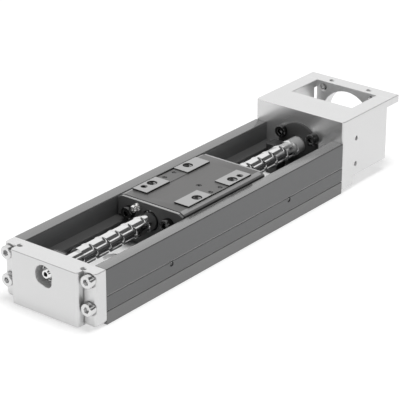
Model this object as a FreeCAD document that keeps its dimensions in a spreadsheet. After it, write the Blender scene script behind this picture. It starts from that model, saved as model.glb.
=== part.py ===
import FreeCAD, Part
import os
import re
import Sketcher

# Electric linear slide: a U-shaped guide rail with a ball screw and a carriage between its walls.
# The origin is the middle of the rail's base. +X runs to the motor end, +Y to the left, +Z up.

# Driving sizes in millimetres, piece by piece
SIZES = {
    # guide rail
    "rail_length": 200.0,
    "rail_width": 60.0,
    "rail_height": 30.0,
    "rail_floor": 5.5,
    "rail_wall": 7.6,
    "trough_width": 30.0,
    "ledge_drop": 10.5,
    "wall_chamfer": 0.6,
    "groove_low": 7.4,
    "groove_high": 15.5,
    "groove_width": 0.6,
    "groove_depth": 0.4,
    "base_hole_pitch": 100.0,
    "base_hole_row": 18.0,
    "base_hole_radius": 2.75,
    "base_sink_radius": 5.2,
    "base_sink_depth": 2.6,
    "sensor_hole_pitch": 100.0,
    "sensor_hole_height": 13.8,
    "sensor_hole_radius": 1.25,
    "sensor_hole_depth": 5.0,
    # ball guide between the rail and the carriage
    "guide_ball_radius": 1.5875,
    "guide_clearance": 0.06,
    "row_high_drop": 3.2,
    "row_low_drop": 9.2,
    "row_ball_pitch": 3.6,
    "row_ball_count": 14,
    "return_wall": 1.6,
    "side_gap": 0.8,
    "retainer_strip": 0.45,
    "strip_margin": 0.15,
    # carriage
    "carriage_rest": 4.0,
    "carriage_rise": 1.6,
    "block_length": 67.0,
    "body_length": 54.0,
    "shoulder_width": 2.9,
    "shoulder_drop": 1.5,
    "floor_gap": 1.5,
    "pad_rise": 0.9,
    "pad_length": 19.0,
    "pad_width": 9.8,
    "pad_pitch_long": 34.0,
    "pad_pitch_wide": 27.8,
    "strip_rise": 0.25,
    "load_hole_long": 30.0,
    "load_hole_wide": 30.0,
    "load_hole_radius": 2.5,
    "load_hole_depth": 10.0,
    "dowel_long": 42.4,
    "dowel_wide": 30.6,
    "dowel_radius": 1.5,
    "dowel_depth": 6.0,
    "plate_hole_long": 8.0,
    "plate_hole_wide": 30.9,
    "plate_hole_radius": 1.25,
    "plate_hole_depth": 6.0,
    "plug_hole_x": -0.6,
    "plug_hole_y": -5.0,
    "plug_hole_radius": 1.4,
    "plug_hole_depth": 1.8,
    "seal_thickness": 1.6,
    "seal_inset": 0.2,
    "seal_screw_row": 25.6,
    "seal_screw_drop": 7.6,
    "seal_screw_length": 10.0,
    "nipple_y": 7.5,
    "nipple_drop": 3.4,
    "nipple_hex_radius": 2.3,
    "nipple_hex_length": 1.8,
    "nipple_neck_radius": 1.1,
    "nipple_head_radius": 1.6,
    "nipple_length": 5.0,
    "nipple_thread_radius": 1.4,
    "nipple_thread_length": 4.0,
    # ball screw and nut
    "screw_drop": 7.8,
    "screw_radius": 5.0,
    "lead": 10.0,
    "thread_inset": 13.0,
    "groove_lead_in": 8.3,
    "groove_run_out": 1.0,
    "screw_ball_radius": 1.19,
    "screw_ball_circle": 5.2,
    "screw_clearance": 0.06,
    "neck_radius": 3.8,
    "front_tip_recess": 1.6,
    "drive_radius": 3.0,
    "drive_length": 17.0,
    "nut_radius": 7.7,
    "nut_bore_gap": 0.3,
    "nut_turns": 2.5,
    "nut_ball_count": 33,
    # fits shared by several pieces
    "seat_clearance": 0.02,
    "through_clearance": 0.2,
    "shaft_gap": 0.6,
    # socket screws, all of one size
    "bolt_radius": 2.0,
    "bolt_head_radius": 3.5,
    "bolt_head_height": 4.0,
    "bolt_socket_radius": 1.73,
    "bolt_socket_depth": 2.2,
    # front end plate
    "ear_thickness": 7.6,
    "plate_thickness": 12.2,
    "ear_width": 8.0,
    "plate_bottom": 0.5,
    "plate_edge_radius": 2.0,
    "ear_corner_radius": 3.0,
    "plate_bolt_edge": 3.8,
    "plate_bolt_drop": 4.0,
    "plate_bolt_low": 11.0,
    "spot_radius": 3.75,
    "spot_depth": 0.7,
    "bolt_bite": 11.0,
    "front_bore_radius": 5.4,
    "lobe_radius": 3.3,
    "lobe_y": -1.9,
    "lobe_drop": 2.8,
    "lobe_depth": 4.4,
    "cover_hole_x": 5.9,
    "cover_hole_row": 41.6,
    "cover_hole_radius": 1.25,
    "cover_hole_depth": 8.0,
    # support bearing in the front plate
    "front_seat_depth": 7.0,
    "front_bearing_bore": 3.0,
    "front_bearing_radius": 6.5,
    "front_bearing_width": 5.0,
    "front_inner_radius": 4.1,
    "front_outer_radius": 5.5,
    "front_ball_radius": 1.1,
    "front_ball_count": 8,
    "bearing_clearance": 0.03,
    "circlip_thickness": 0.7,
    "circlip_groove": 0.3,
    "circlip_radius": 4.3,
    "circlip_gap": 1.6,
    # motor housing
    "flange_below": 20.0,
    "housing_height": 40.2,
    "housing_length": 55.2,
    "housing_edge_radius": 1.5,
    "foot_length": 11.1,
    "body_bottom": 7.0,
    "wall_length": 43.5,
    "top_thickness": 4.3,
    "window_start": 21.5,
    "window_length": 25.1,
    "side_wall": 9.6,
    "chamber_floor": 10.0,
    "flange_width": 42.0,
    "pilot_radius": 17.0,
    "motor_pitch_circle": 46.0,
    "motor_hole_radius": 2.0,
    "housing_bolt_edge": 5.0,
    "housing_bolt_drop": 5.5,
    "housing_bolt_low": 11.3,
    "housing_bolt_seat": 18.0,
    "lid_hole_x": 50.3,
    "lid_hole_row": 25.6,
    "lid_hole_radius": 1.25,
    "lid_hole_depth": 3.0,
    "wall_hole_x": 13.2,
    "wall_hole_high": 29.3,
    "wall_hole_low": 13.9,
    "wall_hole_radius": 1.25,
    "wall_hole_depth": 2.8,
    # fixed bearings in the motor housing
    "bearing_bore": 4.0,
    "bearing_radius": 9.5,
    "bearing_width": 6.0,
    "bearing_inner_radius": 5.6,
    "bearing_outer_radius": 7.9,
    "bearing_ball_radius": 1.75,
    "bearing_ball_count": 8,
    "cap_radius": 16.2,
    "cap_thickness": 3.0,
    "cap_bolt_circle": 24.2,
    "cap_bolt_angle": 30.0,
    "cap_bolt_length": 12.0,
    "nut_hole_radius": 7.5,
    "collar_radius": 6.0,
    "collar_length": 2.0,
    "lock_nut_radius": 6.9,
    "lock_nut_length": 4.0,
    # end stops in the trough
    "stop_drop": 6.5,
    "stop_inner": 5.8,
    "stop_outer": 13.8,
    "front_stop_length": 12.5,
    "rear_stop_length": 8.2,
    "rear_stop_gap": 4.3,
    "stop_bolt_radius": 1.5,
    "stop_bolt_length": 12.0,
    "stop_sink_radius": 3.0,
    "stop_sink_depth": 1.6,
}

doc = FreeCAD.newDocument("linear_slide")
sheet = doc.addObject("Spreadsheet::Sheet", "sizes")
for row, (name, value) in enumerate(SIZES.items(), start=1):
    sheet.set("A%d" % row, name)
    sheet.set("B%d" % row, str(value))
    sheet.setAlias("B%d" % row, name)
doc.recompute()

sub_parts = {}
TO_X = FreeCAD.Rotation(FreeCAD.Vector(0, 1, 0), 90)
TO_MINUS_X = FreeCAD.Rotation(FreeCAD.Vector(0, 1, 0), -90)
UPRIGHT = FreeCAD.Rotation()

# Places that several pieces share, written with the size names
FRONT = "(-rail_length / 2)"
REAR = "(rail_length / 2)"
HALF_CHANNEL = "(rail_width / 2 - rail_wall)"
HALF_TROUGH = "(trough_width / 2)"
BALL_LINE = "(trough_width / 2 - side_gap / 2)"
RETURN_LINE = "(trough_width / 2 - side_gap / 2 - 2 * guide_ball_radius - return_wall)"
FLANGE_EDGE = "(rail_width / 2 - rail_wall - side_gap)"
BODY_EDGE = "(trough_width / 2 - side_gap)"
LEDGE = "(rail_height - ledge_drop)"
ROW_HIGH = "(rail_height - ledge_drop - row_high_drop)"
ROW_LOW = "(rail_height - ledge_drop - row_low_drop)"
BODY_TOP = "(rail_height - ledge_drop + side_gap)"
BODY_LOW = "(rail_floor + floor_gap)"
CARRIAGE_TOP = "(rail_height + carriage_rise)"
PAD_TOP = "(rail_height + carriage_rise + pad_rise)"
SCREW_LINE = "(rail_height - screw_drop)"
HOUSING_BOTTOM = "(rail_height - screw_drop - flange_below)"
HOUSING_TOP = "(rail_height - screw_drop - flange_below + housing_height)"
FRONT_SHOULDER = "(-rail_length / 2 - front_seat_depth)"
FIXED_SEAT = "(rail_length / 2 + cap_thickness)"
FIXED_END = "(rail_length / 2 + cap_thickness + 2 * bearing_width)"
EAR_SEAT = "(-rail_length / 2 - ear_thickness + spot_depth)"
WINDOW_END = "(window_start + window_length)"
GUIDE_GROOVE = "guide_ball_radius + guide_clearance"
THREAD_START = "(-rail_length / 2 + thread_inset)"
GROOVE_START = "(-rail_length / 2 + thread_inset - groove_lead_in)"
DRIVE_START = "(rail_length / 2 + cap_thickness + 2 * bearing_width + collar_length + lock_nut_length)"


def formula(text):
    """Turns the size names in a text into references to the sheet."""
    def reference(found):
        word = found.group()
        return "sizes." + word if word in SIZES else word
    return re.sub(r"[a-z]\w*", reference, text)


def bind(thing, prop, text):
    thing.setExpression(prop, formula(text))


def count(name):
    return int(sheet.get(name))


# Solids with sketches

def new_body(label):
    body = doc.addObject("PartDesign::Body", label)
    body.Label = label
    sub_parts[label] = body
    return body


def new_sketch(body, role, level):
    """A sketch parallel to one of the body's planes, moved along that plane's normal."""
    sketch = body.newObject("Sketcher::SketchObject", body.Label + "_sketch")
    plane = [item for item in body.Origin.OriginFeatures if item.Role == role][0]
    sketch.AttachmentSupport = [(plane, "")]
    sketch.MapMode = "FlatFace"
    bind(sketch, "AttachmentOffset.Base.z", level)
    return sketch


def fix_point(sketch, element, end, across, up):
    """Ties a point of the sketch to two formulas, measured from the sketch's origin."""
    for kind, text in (("DistanceX", across), ("DistanceY", up)):
        index = sketch.addConstraint(Sketcher.Constraint(kind, -1, 1, element, end, 1.0))
        bind(sketch, "Constraints[%d]" % index, text)


def outline(body, role, level, points):
    """A closed outline of straight lines through the given pairs of formulas."""
    sketch = new_sketch(body, role, level)
    turn = 360.0 / len(points)
    spoke = FreeCAD.Vector(10, 0, 0)
    corners = [FreeCAD.Rotation(FreeCAD.Vector(0, 0, 1), turn * k).multVec(spoke) for k in range(len(points))]
    lines = [Part.LineSegment(corners[k - 1], corners[k]) for k in range(len(points))]
    sketch.addGeometry(lines, False)
    joints = [Sketcher.Constraint("Coincident", k, 2, (k + 1) % len(points), 1) for k in range(len(points))]
    sketch.addConstraint(joints)
    for k, (across, up) in enumerate(points):
        fix_point(sketch, k, 2, across, up)
    return sketch


def rectangle(body, role, level, low, high):
    (left, bottom), (right, top) = low, high
    return outline(body, role, level, [(left, bottom), (right, bottom), (right, top), (left, top)])


def circles(body, role, level, radius, centres):
    """Equal circles at the given pairs of formulas."""
    sketch = new_sketch(body, role, level)
    for k, (across, up) in enumerate(centres):
        spot = FreeCAD.Vector(10 * k, 0, 0)
        sketch.addGeometry(Part.Circle(spot, FreeCAD.Vector(0, 0, 1), 1.0), False)
        fix_point(sketch, k, 3, across, up)
        index = sketch.addConstraint(Sketcher.Constraint("Radius", k, 1.0))
        bind(sketch, "Constraints[%d]" % index, radius)
    return sketch


def add(body, sketch, length):
    """Raises a sketch along its normal."""
    pad = body.newObject("PartDesign::Pad", body.Label + "_pad")
    pad.Profile = sketch
    bind(pad, "Length", length)
    doc.recompute()


def cut(body, sketch, depth, forward=False):
    """Cuts a sketch against its normal, or along it, and makes sure that material came off."""
    before = body.Shape.Volume
    pocket = body.newObject("PartDesign::Pocket", body.Label + "_pocket")
    pocket.Profile = sketch
    pocket.Reversed = forward
    bind(pocket, "Length", depth)
    doc.recompute()
    if not body.Shape.Volume < before - 1e-6:
        raise RuntimeError("a cut in %s removed nothing" % body.Label)


def round_edges(body, radius, wanted):
    """Rounds the edges that the test picks by their middle point and direction."""
    names = []
    for k, edge in enumerate(body.Shape.Edges, start=1):
        middle = edge.valueAt((edge.FirstParameter + edge.LastParameter) / 2)
        if edge.Curve.TypeId == "Part::GeomLine" and wanted(middle, edge.Curve.Direction):
            names.append("Edge%d" % k)
    rounded = body.Tip
    fillet = body.newObject("PartDesign::Fillet", body.Label + "_fillet")
    fillet.Base = (rounded, names)
    bind(fillet, "Radius", radius)
    doc.recompute()


def both_sides(across, up):
    return [(across, up), ("-" + across, up)]


def four_corners(across, up):
    return both_sides(across, up) + both_sides(across, "-" + up)


def about_axis(reach, climb):
    """Four places about the screw's axis, seen from its end."""
    return both_sides(reach, SCREW_LINE + " + " + climb) + both_sides(reach, SCREW_LINE + " - " + climb)


# Solids from round and prismatic blocks

def block(kind, label, rotation, place, **dimensions):
    """A primitive solid with its sizes and its place tied to the sheet."""
    thing = doc.addObject("Part::" + kind, label)
    thing.Placement = FreeCAD.Placement(FreeCAD.Vector(), rotation)
    for axis, text in zip("xyz", place):
        bind(thing, "Placement.Base." + axis, text)
    for prop, text in dimensions.items():
        bind(thing, prop, text)
    return thing


def rod(label, start, end, radius, y="0", z=SCREW_LINE):
    """A cylinder along +X between two formulas."""
    length = "(%s) - (%s)" % (end, start)
    return block("Cylinder", label, TO_X, (start, y, z), Radius=radius, Height=length)


def fuse(label, pieces):
    joined = doc.addObject("Part::MultiFuse", label)
    joined.Shapes = pieces
    return joined


def subtract(label, base, tool):
    rest = doc.addObject("Part::Cut", label)
    rest.Base = base
    rest.Tool = tool
    return rest


def keep(label, thing):
    thing.Label = label
    sub_parts[label] = thing


def group(label, pieces):
    """Separate solids that share one node."""
    compound = doc.addObject("Part::Compound", label)
    compound.Links = pieces
    keep(label, compound)


def socket_screw(label, heading, seat, y, z, length):
    """A socket screw whose head sits at seat and whose shank points along +X or -X."""
    turned = TO_X if heading > 0 else TO_MINUS_X
    sign = "+" if heading > 0 else "-"
    face = "%s - (%sbolt_head_height)" % (seat, sign)
    head = block("Cylinder", label + "_head", turned, (face, y, z),
                 Radius="bolt_head_radius", Height="bolt_head_height")
    shank = block("Cylinder", label + "_shank", turned, (seat, y, z), Radius="bolt_radius", Height=length)
    hexagon = block("Prism", label + "_hexagon", turned, (face, y, z),
                    Circumradius="bolt_socket_radius", Height="bolt_socket_depth")
    return subtract(label, fuse(label + "_blank", [head, shank]), hexagon)


def ball_ring(label, start, width, inner, outer, circle, ball):
    """One ring of a ball bearing: a tube with a round groove for the balls."""
    end = "%s + %s" % (start, width)
    tube = subtract(label + "_tube", rod(label + "_solid", start, end, outer),
                    rod(label + "_hole", start, end, inner))
    middle = "%s + %s / 2" % (start, width)
    groove = block("Torus", label + "_groove", TO_X, (middle, "0", SCREW_LINE),
                   Radius1=circle, Radius2=ball + " + bearing_clearance")
    return subtract(label, tube, groove)


def ball_circle(label, middle, circle, ball, number):
    """The balls of one bearing."""
    balls = []
    for k in range(number):
        angle = 360.0 / number * k
        across = "%s * cos(%f)" % (circle, angle)
        up = "%s + %s * sin(%f)" % (SCREW_LINE, circle, angle)
        balls.append(block("Sphere", "%s_%d" % (label, k), UPRIGHT, (middle, across, up), Radius=ball))
    return balls


# Guide rail: a U with a wide channel for the carriage's top and a narrower trough below it
rail = new_body("guide_rail")
half_section = [
    ("rail_width / 2", "0"),
    ("rail_width / 2", "rail_height"),
    (HALF_CHANNEL + " + wall_chamfer", "rail_height"),
    (HALF_CHANNEL, "rail_height - wall_chamfer"),
    (HALF_CHANNEL, LEDGE),
    (HALF_TROUGH, LEDGE),
    (HALF_TROUGH, "rail_floor"),
]
other_half = [("-(%s)" % across, up) for across, up in reversed(half_section)]
add(rail, outline(rail, "YZ_Plane", FRONT, half_section + other_half), "rail_length")
for level in (ROW_HIGH, ROW_LOW):
    raceways = circles(rail, "YZ_Plane", REAR, GUIDE_GROOVE, both_sides(BALL_LINE, level))
    cut(rail, raceways, "rail_length")
for level in ("groove_low", "groove_high"):
    for side in ("", "-"):
        low = (side + "(rail_width / 2 - groove_depth)", level + " - groove_width / 2")
        high = (side + "(rail_width / 2 + groove_depth)", level + " + groove_width / 2")
        cut(rail, rectangle(rail, "YZ_Plane", REAR, low, high), "rail_length")
base_holes = four_corners("base_hole_pitch / 2", "base_hole_row / 2")
cut(rail, circles(rail, "XY_Plane", "rail_floor", "base_hole_radius", base_holes), "rail_floor")
cut(rail, circles(rail, "XY_Plane", "rail_floor", "base_sink_radius", base_holes), "base_sink_depth")
sensor_holes = both_sides("sensor_hole_pitch / 2", "sensor_hole_height")
for level, forward in (("rail_width / 2", False), ("-rail_width / 2", True)):
    holes = circles(rail, "XZ_Plane", level, "sensor_hole_radius", sensor_holes)
    cut(rail, holes, "sensor_hole_depth", forward)
tapped = "bolt_radius + seat_clearance"
plate_bolt_line = "(rail_width / 2 - plate_bolt_edge)"
plate_bolts = (both_sides(plate_bolt_line, "rail_height - plate_bolt_drop")
               + both_sides(plate_bolt_line, "plate_bolt_low"))
cut(rail, circles(rail, "YZ_Plane", FRONT, tapped, plate_bolts), "bolt_bite + bolt_radius", forward=True)
housing_bolt_line = "(rail_width / 2 - housing_bolt_edge)"
housing_bolts = (both_sides(housing_bolt_line, "rail_height - housing_bolt_drop")
                 + both_sides(housing_bolt_line, "housing_bolt_low"))
cut(rail, circles(rail, "YZ_Plane", REAR, tapped, housing_bolts), "bolt_bite + bolt_radius")
front_stop_middle = "(-rail_length / 2 + front_stop_length / 2)"
rear_stop_middle = "(rail_length / 2 - rear_stop_gap - rear_stop_length / 2)"
stop_line = "((stop_inner + stop_outer) / 2)"
stop_holes = [(front_stop_middle, stop_line), (rear_stop_middle, stop_line)]
stop_hole = "stop_bolt_radius + seat_clearance"
cut(rail, circles(rail, "XY_Plane", "rail_floor", stop_hole, stop_holes), "rail_floor")
stop_sink = "stop_sink_radius + seat_clearance"
cut(rail, circles(rail, "XY_Plane", "0", stop_sink, stop_holes), "stop_sink_depth", forward=True)

# Front end plate: a raised middle block between two ears, with the support bearing behind it
plate = new_body("front_end_plate")
ear_face = FRONT + " - ear_thickness"
plate_face = FRONT + " - plate_thickness"
plate_outline = [
    (FRONT, "-rail_width / 2"),
    (FRONT, "rail_width / 2"),
    (ear_face, "rail_width / 2"),
    (ear_face, "rail_width / 2 - ear_width"),
    (plate_face, "rail_width / 2 - ear_width"),
    (plate_face, "ear_width - rail_width / 2"),
    (ear_face, "ear_width - rail_width / 2"),
    (ear_face, "-rail_width / 2"),
]
add(plate, outline(plate, "XY_Plane", "plate_bottom", plate_outline), "rail_height - plate_bottom")
ear_front = -sheet.get("rail_length") / 2 - sheet.get("ear_thickness")
block_front = -sheet.get("rail_length") / 2 - sheet.get("plate_thickness")
ear_side = sheet.get("rail_width") / 2


def plate_front_edge(middle, direction):
    outer_ear = abs(middle.x - ear_front) < 1e-3 and abs(abs(middle.y) - ear_side) < 1e-3
    return abs(direction.z) > 0.9 and (outer_ear or abs(middle.x - block_front) < 1e-3)


def plate_low_edge(middle, direction):
    low = abs(middle.z - sheet.get("plate_bottom")) < 1e-3
    return abs(direction.x) > 0.9 and low and abs(abs(middle.y) - ear_side) < 1e-3


round_edges(plate, "ear_corner_radius", plate_low_edge)
round_edges(plate, "plate_edge_radius", plate_front_edge)
cut(plate, circles(plate, "YZ_Plane", ear_face, "spot_radius", plate_bolts), "spot_depth", forward=True)
cut(plate, circles(plate, "YZ_Plane", FRONT, "bolt_radius + through_clearance", plate_bolts), "ear_thickness")
axis_spot = [("0", SCREW_LINE)]
front_seat = "front_bearing_radius + seat_clearance"
cut(plate, circles(plate, "YZ_Plane", FRONT, front_seat, axis_spot), "front_seat_depth")
cut(plate, circles(plate, "YZ_Plane", FRONT, "front_bore_radius", axis_spot), "plate_thickness")
lobe_spot = [("lobe_y", SCREW_LINE + " - lobe_drop")]
cut(plate, circles(plate, "YZ_Plane", plate_face, "lobe_radius", lobe_spot), "lobe_depth", forward=True)
cover_x = FRONT + " - cover_hole_x"
cover_holes = [(cover_x, "cover_hole_row / 2"), (cover_x, "-cover_hole_row / 2")]
cut(plate, circles(plate, "XY_Plane", "rail_height", "cover_hole_radius", cover_holes), "cover_hole_depth")

plate_screws = []
for k, (y, z) in enumerate(plate_bolts):
    shank = "ear_thickness - spot_depth + bolt_bite"
    plate_screws.append(socket_screw("plate_screw_%d" % k, 1, EAR_SEAT, y, z, shank))
group("front_plate_screws", plate_screws)

# Support bearing of the screw's front end
front_circle = "((front_inner_radius + front_outer_radius) / 2)"
keep("front_bearing_outer_ring", ball_ring("front_outer", FRONT_SHOULDER, "front_bearing_width",
                                           "front_outer_radius", "front_bearing_radius",
                                           front_circle, "front_ball_radius"))
keep("front_bearing_inner_ring", ball_ring("front_inner", FRONT_SHOULDER, "front_bearing_width",
                                           "front_bearing_bore + seat_clearance", "front_inner_radius",
                                           front_circle, "front_ball_radius"))
group("front_bearing_balls", ball_circle("front_ball", FRONT_SHOULDER + " + front_bearing_width / 2",
                                         front_circle, "front_ball_radius", count("front_ball_count")))

# Retaining ring on the screw's front tip, open at the top
clip_end = FRONT_SHOULDER + " - seat_clearance"
clip_start = clip_end + " - circlip_thickness"
clip_bore = "front_bearing_bore - circlip_groove + seat_clearance"
clip_ring = subtract("circlip_ring", rod("circlip_solid", clip_start, clip_end, "circlip_radius"),
                     rod("circlip_hole", clip_start, clip_end, clip_bore))
clip_mouth = block("Box", "circlip_mouth", UPRIGHT, (clip_start, "-circlip_gap / 2", SCREW_LINE),
                   Length="circlip_thickness", Width="circlip_gap", Height="circlip_radius")
keep("shaft_circlip", subtract("circlip", clip_ring, clip_mouth))

# Motor housing: a thick bearing wall, two side walls, a top with a window and a narrower motor flange
housing = new_body("motor_housing")


def from_rail(text):
    return REAR + " + " + text


side_view = [
    (REAR, HOUSING_BOTTOM),
    (from_rail("foot_length"), HOUSING_BOTTOM),
    (from_rail("foot_length"), "body_bottom"),
    (from_rail("wall_length"), "body_bottom"),
    (from_rail("wall_length"), HOUSING_TOP + " - top_thickness"),
    (from_rail("housing_length"), HOUSING_TOP + " - top_thickness"),
    (from_rail("housing_length"), HOUSING_TOP),
    (REAR, HOUSING_TOP),
]
add(housing, outline(housing, "XZ_Plane", "-rail_width / 2", side_view), "rail_width")


def housing_front_edge(middle, direction):
    return abs(direction.z) > 0.9 and abs(middle.x - sheet.get("rail_length") / 2) < 1e-3


round_edges(housing, "housing_edge_radius", housing_front_edge)
floor_low = (from_rail("wall_length"), "body_bottom")
floor_high = (from_rail(WINDOW_END), "chamber_floor")
add(housing, rectangle(housing, "XZ_Plane", "-flange_width / 2", floor_low, floor_high), "flange_width")
flange_low = (from_rail(WINDOW_END), "body_bottom")
flange_high = (from_rail("housing_length"), HOUSING_TOP + " - top_thickness")
add(housing, rectangle(housing, "XZ_Plane", "-flange_width / 2", flange_low, flange_high), "flange_width")
toe_low = (from_rail(WINDOW_END), HOUSING_BOTTOM)
toe_high = (from_rail("housing_length"), "body_bottom")
add(housing, rectangle(housing, "XZ_Plane", "-flange_width / 2", toe_low, toe_high), "flange_width")
window_low = (from_rail("window_start"), "side_wall - rail_width / 2")
window_high = (from_rail(WINDOW_END), "rail_width / 2 - side_wall")
window = rectangle(housing, "XY_Plane", HOUSING_TOP, window_low, window_high)
cut(housing, window, HOUSING_TOP + " - chamber_floor")
motor_face = from_rail("housing_length")
flange_thickness = "housing_length - " + WINDOW_END
cut(housing, circles(housing, "YZ_Plane", motor_face, "pilot_radius", axis_spot), flange_thickness)
diagonal = "motor_pitch_circle / 2 * cos(45)"
motor_holes = about_axis(diagonal, diagonal)
cut(housing, circles(housing, "YZ_Plane", motor_face, "motor_hole_radius", motor_holes), flange_thickness)
cap_room = "cap_radius + seat_clearance"
cut(housing, circles(housing, "YZ_Plane", REAR, cap_room, axis_spot), "cap_thickness", forward=True)
bearing_room = "bearing_radius + seat_clearance"
seat_depth = "cap_thickness + 2 * bearing_width"
cut(housing, circles(housing, "YZ_Plane", REAR, bearing_room, axis_spot), seat_depth, forward=True)
cut(housing, circles(housing, "YZ_Plane", REAR, "nut_hole_radius", axis_spot), "window_start", forward=True)
cut(housing, circles(housing, "YZ_Plane", REAR, "bolt_radius + through_clearance", housing_bolts),
    "housing_bolt_seat", forward=True)
cut(housing, circles(housing, "YZ_Plane", from_rail("wall_length"), "bolt_head_radius + through_clearance",
                     housing_bolts), "wall_length - housing_bolt_seat")
cap_reach = "cap_bolt_circle / 2 * cos(cap_bolt_angle)"
cap_climb = "cap_bolt_circle / 2 * sin(cap_bolt_angle)"
cap_bolts = about_axis(cap_reach, cap_climb)
cap_taps = circles(housing, "YZ_Plane", REAR, tapped, cap_bolts)
cut(housing, cap_taps, "cap_bolt_length + bolt_radius", forward=True)
lid_x = from_rail("lid_hole_x")
lid_holes = [(lid_x, "lid_hole_row / 2"), (lid_x, "-lid_hole_row / 2")]
cut(housing, circles(housing, "XY_Plane", HOUSING_TOP, "lid_hole_radius", lid_holes), "lid_hole_depth")
wall_x = from_rail("wall_hole_x")
wall_holes = [(wall_x, "wall_hole_high"), (wall_x, "wall_hole_low")]
for level, forward in (("rail_width / 2", False), ("-rail_width / 2", True)):
    holes = circles(housing, "XZ_Plane", level, "wall_hole_radius", wall_holes)
    cut(housing, holes, "wall_hole_depth", forward)

housing_screws = []
for k, (y, z) in enumerate(housing_bolts):
    seat = from_rail("housing_bolt_seat")
    shank = "housing_bolt_seat + bolt_bite"
    housing_screws.append(socket_screw("housing_screw_%d" % k, -1, seat, y, z, shank))
group("housing_screws", housing_screws)

# Fixed bearings: a pair side by side, held in the housing by a round cap with four screws
fixed_circle = "((bearing_inner_radius + bearing_outer_radius) / 2)"
outer_rings = []
inner_rings = []
fixed_balls = []
for k in range(2):
    start = "(%s + %d * bearing_width)" % (FIXED_SEAT, k)
    outer_rings.append(ball_ring("fixed_outer_%d" % k, start, "bearing_width",
                                 "bearing_outer_radius", "bearing_radius",
                                 fixed_circle, "bearing_ball_radius"))
    inner_rings.append(ball_ring("fixed_inner_%d" % k, start, "bearing_width",
                                 "bearing_bore + seat_clearance", "bearing_inner_radius",
                                 fixed_circle, "bearing_ball_radius"))
    fixed_balls += ball_circle("fixed_ball_%d" % k, start + " + bearing_width / 2", fixed_circle,
                               "bearing_ball_radius", count("bearing_ball_count"))
group("fixed_bearing_outer_rings", outer_rings)
group("fixed_bearing_inner_rings", inner_rings)
group("fixed_bearing_balls", fixed_balls)

cap = new_body("bearing_cap")
add(cap, circles(cap, "YZ_Plane", REAR, "cap_radius", axis_spot), "cap_thickness")
cut(cap, circles(cap, "YZ_Plane", REAR, "screw_radius + shaft_gap", axis_spot), "cap_thickness", forward=True)
cap_holes = circles(cap, "YZ_Plane", REAR, "bolt_radius + through_clearance", cap_bolts)
cut(cap, cap_holes, "cap_thickness", forward=True)
cap_screws = []
for k, (y, z) in enumerate(cap_bolts):
    cap_screws.append(socket_screw("cap_screw_%d" % k, 1, REAR, y, z, "cap_bolt_length"))
group("bearing_cap_screws", cap_screws)

# Ball screw: necks and journals turned on one bar, with one right-hand ball groove along the thread
tip = FRONT + " - plate_thickness + front_tip_recess"
bar = fuse("screw_bar", [
    rod("front_journal", tip, FRONT_SHOULDER + " + front_bearing_width", "front_bearing_bore"),
    rod("front_neck", FRONT_SHOULDER + " + front_bearing_width", THREAD_START, "neck_radius"),
    rod("thread_blank", THREAD_START, FIXED_SEAT, "screw_radius"),
    rod("fixed_journal", FIXED_SEAT, DRIVE_START, "bearing_bore"),
    rod("drive_journal", DRIVE_START, DRIVE_START + " + drive_length", "drive_radius"),
])
clip_core = "front_bearing_bore - circlip_groove"
clip_groove = subtract("clip_groove", rod("clip_groove_wide", clip_start, FRONT_SHOULDER, "circlip_radius"),
                       rod("clip_groove_core", clip_start, FRONT_SHOULDER, clip_core))


def ball_groove(label, start, length):
    """A round groove wound right-handed about the screw's axis."""
    spine = block("Helix", label + "_spine", TO_X, (start, "0", SCREW_LINE),
                  Radius="screw_ball_circle", Pitch="lead", Height=length)
    spine.SegmentLength = 1
    section = doc.addObject("Part::Circle", label + "_section")
    bind(section, "Radius", "screw_ball_radius + screw_clearance")
    doc.recompute()
    first = spine.Shape.Edges[0]
    heading = first.tangentAt(first.FirstParameter)
    section.Placement = FreeCAD.Placement(first.valueAt(first.FirstParameter),
                                          FreeCAD.Rotation(FreeCAD.Vector(0, 0, 1), heading))
    sweep = doc.addObject("Part::Sweep", label)
    sweep.Sections = [section]
    sweep.Spine = (spine, ["Edge%d" % (k + 1) for k in range(len(spine.Shape.Edges))])
    sweep.Solid = True
    sweep.Frenet = True
    doc.recompute()
    return sweep


groove_length = "rail_length - thread_inset + groove_lead_in - groove_run_out"
thread_groove = ball_groove("thread_groove", GROOVE_START, groove_length)
keep("ball_screw", subtract("screw_cut", subtract("screw_grooved", bar, clip_groove), thread_groove))

collar_start = FIXED_END
nut_start = FIXED_END + " + collar_length"
journal_room = "bearing_bore + seat_clearance"
keep("spacer_collar", subtract("collar", rod("collar_solid", collar_start, nut_start, "collar_radius"),
                               rod("collar_hole", collar_start, nut_start, journal_room)))
lock_blank = block("Prism", "lock_nut_solid", TO_X, (nut_start, "0", SCREW_LINE),
                   Circumradius="lock_nut_radius", Height="lock_nut_length")
lock_hole = rod("lock_nut_hole", nut_start, nut_start + " + lock_nut_length", journal_room)
keep("lock_nut", subtract("lock_nut_cut", lock_blank, lock_hole))

# Carriage block: a wide top between the rail's walls and a narrower body in the trough
carriage = new_body("carriage_block")
block_front_end = "carriage_rest - block_length / 2"
body_front_end = "carriage_rest - body_length / 2"


def top_section(inset):
    """The outline of the carriage's top, drawn in by an inset."""
    return [
        ("-(%s - %s)" % (FLANGE_EDGE, inset), "%s + %s" % (BODY_TOP, inset)),
        ("%s - %s" % (FLANGE_EDGE, inset), "%s + %s" % (BODY_TOP, inset)),
        ("%s - %s" % (FLANGE_EDGE, inset), CARRIAGE_TOP + " - shoulder_drop - " + inset),
        ("%s - shoulder_width - %s" % (FLANGE_EDGE, inset), CARRIAGE_TOP + " - " + inset),
        ("-(%s - shoulder_width - %s)" % (FLANGE_EDGE, inset), CARRIAGE_TOP + " - " + inset),
        ("-(%s - %s)" % (FLANGE_EDGE, inset), CARRIAGE_TOP + " - shoulder_drop - " + inset),
    ]


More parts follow.
